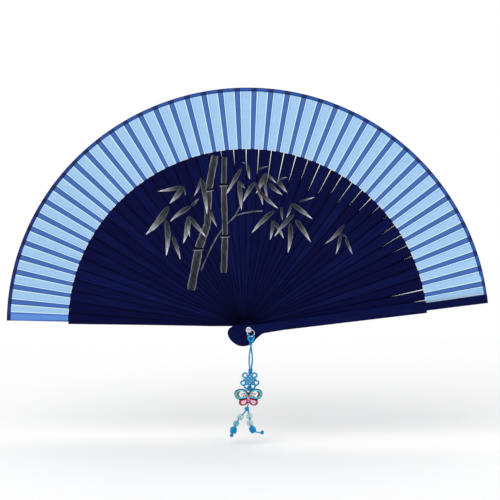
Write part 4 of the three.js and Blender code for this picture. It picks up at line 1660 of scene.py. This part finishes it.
class FAN_OT_charm_knot(bpy.types.Operator):
    """Weaves the flat diamond knot with its six ears, and wraps the cord above and below it"""

    bl_idname = "fan.charm_knot"
    bl_label = "Charm knot"

    def execute(self, context):
        meshes = []
        for name, swapped in (("weave_a", False), ("weave_b", True)):
            line = smooth_line(self.weave(swapped), 4)
            meshes.append((0, tube_mesh(name, line, KNOT_STRAND * MM, sides=9)))
        meshes.append((0, self.wrap("knot_top_wrap", (1.2, -33.3), 1.3, 3.6)))
        meshes.append((0, self.wrap("knot_foot_wrap", (0.1, -47.2), 1.2, 3.0)))
        knot = link_object("diamond_knot", join_meshes("diamond_knot", meshes), finish("cord"))
        claim(knot, "charm", "cord", "charm_knot")
        return {"FINISHED"}

    def weave(self, swapped):
        """One strand that runs back and forth four times, with a loop at each turn. Along the
        strand p is the run across the diamond and q the row. The other strand has them swapped."""
        lift = KNOT_RISE if swapped else -KNOT_RISE
        points = []
        for number, row in enumerate(KNOT_ROWS):
            way = 1 if number % 2 == 0 else -1
            points.append((way * -KNOT_HALF, row * KNOT_PITCH, 0.0))
            for stop in reversed(KNOT_ROWS) if way > 0 else KNOT_ROWS:
                over = 1 if round(row + stop + 3) % 2 == 0 else -1
                points.append((stop * KNOT_PITCH, row * KNOT_PITCH, over * lift))
            points.append((way * KNOT_HALF, row * KNOT_PITCH, 0.0))
            if number < len(KNOT_ROWS) - 1:
                for out, aside in KNOT_EAR:
                    points.append((way * (KNOT_HALF + out), (row + aside) * KNOT_PITCH, 0.0))
        placed = []
        for p, q, y in points:
            across, up = (-q, -p) if swapped else (p, q)
            x = KNOT_CENTRE[0] + (across + up) * math.sqrt(0.5)
            z = KNOT_CENTRE[1] + (up - across) * math.sqrt(0.5)
            placed.append(in_charm(x, z, y))
        return placed

    def wrap(self, name, centre, radius, height):
        """Cord wound round the strands."""
        line = []
        count = int(height / WRAP_PITCH * WRAP_STEPS)
        for k in range(count + 1):
            turn = 2 * math.pi * k / WRAP_STEPS
            z = centre[1] + height * (0.5 - k / count)
            line.append(in_charm(centre[0] + radius * math.cos(turn), z, radius * math.sin(turn)))
        return tube_mesh(name, line, WRAP_STRAND * MM, sides=8)


# The butterfly's outlines in millimetres from its middle, drawn for the right-hand side
UPPER_WING = [
    (0.7, 0.4), (1.3, 3.8), (3.6, 6.1), (6.8, 6.6), (9.9, 4.9), (10.7, 2.2), (9.0, -0.5), (5.0, -0.7),
]
LOWER_WING = [
    (0.8, -0.9), (3.2, -1.6), (6.2, -2.3), (6.9, -4.2), (5.5, -6.1), (3.0, -5.9), (1.1, -3.9),
]
CRESCENT = [(6.6, 5.2), (8.6, 4.4), (9.3, 2.4), (8.2, 0.7), (6.6, 0.6), (7.6, 2.0), (7.6, 3.6)]
DOTS = [(2.3, 1.5), (3.4, 3.2), (4.0, 1.3), (5.2, 2.9)]
DOT_RADIUS = 0.62
HEAD_DOT = (0, 1.5, 0.95)
BODY = [
    (0, 1.6), (0.75, 0.2), (0.85, -1.6), (0.5, -3.2), (0, -4.0), (-0.5, -3.2), (-0.85, -1.6),
    (-0.75, 0.2),
]
PLATE = [
    (0, 4.0), (2.2, 6.3), (6.6, 7.1), (10.4, 5.4), (11.2, 2.2), (9.6, -0.8), (7.4, -1.9),
    (7.6, -4.6), (5.8, -6.5), (2.4, -6.2), (0, -4.4),
]
PLATE_HALF = 0.8  # half its thickness
FEELER = [(0.3, 2.0, -1.2), (0.9, 3.6, -1.3), (1.5, 4.8, -1.2)]  # aside, up, and forward if negative


def mirrored(outline, side):
    """An outline for the right wing, or its mirror image for the left."""
    return [(side * x, z) for x, z in outline]


def shrunk(outline, share):
    """The same outline drawn in towards its own middle."""
    x = sum(point[0] for point in outline) / len(outline)
    z = sum(point[1] for point in outline) / len(outline)
    return [(x + share * (a - x), z + share * (b - z)) for a, b in outline]


def octagon(x, z, radius):
    """An outline's eight corners round a point."""
    return [(x + radius * math.cos(turn), z + radius * math.sin(turn)) for turn in even_turns(8)]


class FAN_OT_butterfly(bpy.types.Operator):
    """Makes the enamelled butterfly: a dark plate with raised cells of colour"""

    bl_idname = "fan.butterfly"
    bl_label = "Butterfly charm"

    def execute(self, context):
        plate_tones = (0.010, 0.006, 0.006), (0.045, 0.020, 0.014)
        slots = [
            enamel_finish("dark_plate", *plate_tones, metallic=0.6, rough=0.3),
            enamel_finish("turquoise_enamel", (0.0, 0.36, 0.50), (0.04, 0.66, 0.78)),
            enamel_finish("white_enamel", (0.70, 0.74, 0.74), (0.86, 0.88, 0.88)),
            enamel_finish("crimson_enamel", (0.42, 0.0, 0.045), (0.62, 0.01, 0.12)),
            enamel_finish("pink_enamel", (0.62, 0.16, 0.42), (0.80, 0.34, 0.62)),
            enamel_finish("amber_enamel", (0.07, 0.018, 0.006), (0.26, 0.10, 0.03)),
        ]
        dark, turquoise, white, crimson, pink, amber = range(6)
        meshes = [(dark, self.plate())]
        for side in (-1, 1):
            upper, lower = mirrored(UPPER_WING, side), mirrored(LOWER_WING, side)
            meshes += [
                (turquoise, self.cell(upper, 0.5, shrunk(upper, 0.72))),
                (white, self.cell(shrunk(upper, 0.70), 0.3)),
                (amber, self.cell(mirrored(CRESCENT, side), 0.55)),
                (crimson, self.cell(lower, 0.5, shrunk(lower, 0.66))),
                (white, self.cell(shrunk(lower, 0.64), 0.3)),
                (pink, self.cell(shrunk(lower, 0.30), 0.45)),
            ]
            for x, z in mirrored(DOTS, side):
                meshes.append((crimson, self.cell(octagon(x, z, DOT_RADIUS), 0.55)))
        meshes.append((pink, self.cell(BODY, 0.95)))
        meshes.append((crimson, self.cell(octagon(*HEAD_DOT), 1.1)))
        meshes += [(dark, self.feeler(side)) for side in (-1, 1)]
        butterfly = link_object("enamel_butterfly", join_meshes("enamel_butterfly", meshes), *slots)
        claim(butterfly, "charm", "enamel", "butterfly_charm")
        return {"FINISHED"}

    def rounded(self, outline, steps):
        """A smooth closed outline in metres through corners in millimetres."""
        line = smooth_line([(x * MM, z * MM, 0) for x, z in outline], steps, closed=True)
        return [(point.x, point.y) for point in line]

    def cell(self, outline, height, hole=None):
        """A raised cell of that height on the plate's front."""
        holes = [self.rounded(hole, 6)] if hole else []
        rim = min(0.16, 0.45 * height) * MM
        mesh = rounded_pad("cell", self.rounded(outline, 6), 2 * height * MM, rim, holes)
        mesh.transform(Matrix.Translation(in_charm(*BUTTERFLY_CENTRE, -PLATE_HALF)))
        return mesh

    def plate(self):
        """The dark plate under the cells, a little larger than the wings."""
        outline = PLATE + mirrored(PLATE[-2:0:-1], -1)
        mesh = rounded_pad("plate", self.rounded(outline, 5), 2 * PLATE_HALF * MM, 0.3 * MM)
        mesh.transform(Matrix.Translation(in_charm(*BUTTERFLY_CENTRE)))
        return mesh

    def feeler(self, side):
        """A short bent wire that rises from the head."""
        x, z = BUTTERFLY_CENTRE
        points = [in_charm(x + side * out, z + up, y) for out, up, y in FEELER]
        return tube_mesh("feeler", smooth_line(points, 4), 0.22 * MM, sides=8)


# The link from the collar up to the butterfly, as (x, z, y) like the cords
COLLAR_LINK = [(-1.5, -63.2, 0), (-1.0, -61.6, 0.3), (-0.5, -59.4, 0.4)]


class FAN_OT_collar(bpy.types.Operator):
    """Makes the round knotted collar that the tails hang from, and the link above it"""

    bl_idname = "fan.collar"
    bl_label = "Collar"

    def execute(self, context):
        radius = 2.0 * MM
        strand, core = 0.34 * radius, 0.7 * radius
        ball = woven_ball(
            "collar_weave", radius, strand, core, leads=2, bights=3, lean=0.85, wave=0.12,
            steps=110, sides=(9, 18),
        )
        settle(ball, in_charm(*COLLAR_CENTRE))
        stem = smooth_line([in_charm(*point) for point in COLLAR_LINK], 4)
        link = tube_mesh("collar_link", stem, 0.5 * MM, sides=9)
        mesh = join_meshes("collar_knot", [(0, ball), (0, link)])
        claim(link_object("collar_knot", mesh, finish("cord")), "charm", "cord", "collar_bead")
        return {"FINISHED"}


class FAN_PT_builder(bpy.types.Panel):
    """The fan's sizes, its colours and a button for each piece"""

    bl_idname = "FAN_PT_builder"
    bl_label = "Slat Fan"
    bl_space_type = "VIEW_3D"
    bl_region_type = "UI"
    bl_category = "Fan"

    def draw(self, context):
        for settings in (context.scene.fan_sizes, context.scene.fan_colours):
            box = self.layout.box()
            for key in settings.bl_rna.properties.keys():
                if key not in ("rna_type", "name"):
                    box.prop(settings, key)
        for operator in OPERATORS:
            self.layout.operator(operator.bl_idname)


OPERATORS = (
    FAN_OT_camera_and_stage,
    FAN_OT_hanger_cord,
    FAN_OT_tails,
    FAN_OT_slats,
    FAN_OT_guards,
    FAN_OT_rivet,
    FAN_OT_leaf,
    FAN_OT_charm_knot,
    FAN_OT_butterfly,
    FAN_OT_collar,
)
CLASSES = (FanSizes, FanColours, *OPERATORS, FAN_PT_builder)


def register():
    for item in CLASSES:
        bpy.utils.register_class(item)
    bpy.types.Scene.fan_sizes = bpy.props.PointerProperty(type=FanSizes)
    bpy.types.Scene.fan_colours = bpy.props.PointerProperty(type=FanColours)


def unregister():
    del bpy.types.Scene.fan_colours
    del bpy.types.Scene.fan_sizes
    for item in reversed(CLASSES):
        bpy.utils.unregister_class(item)


def main():
    register()
    for operator in OPERATORS:
        group, action = operator.bl_idname.split(".")
        getattr(getattr(bpy.ops, group), action)()


if __name__ == "__main__":
    main()
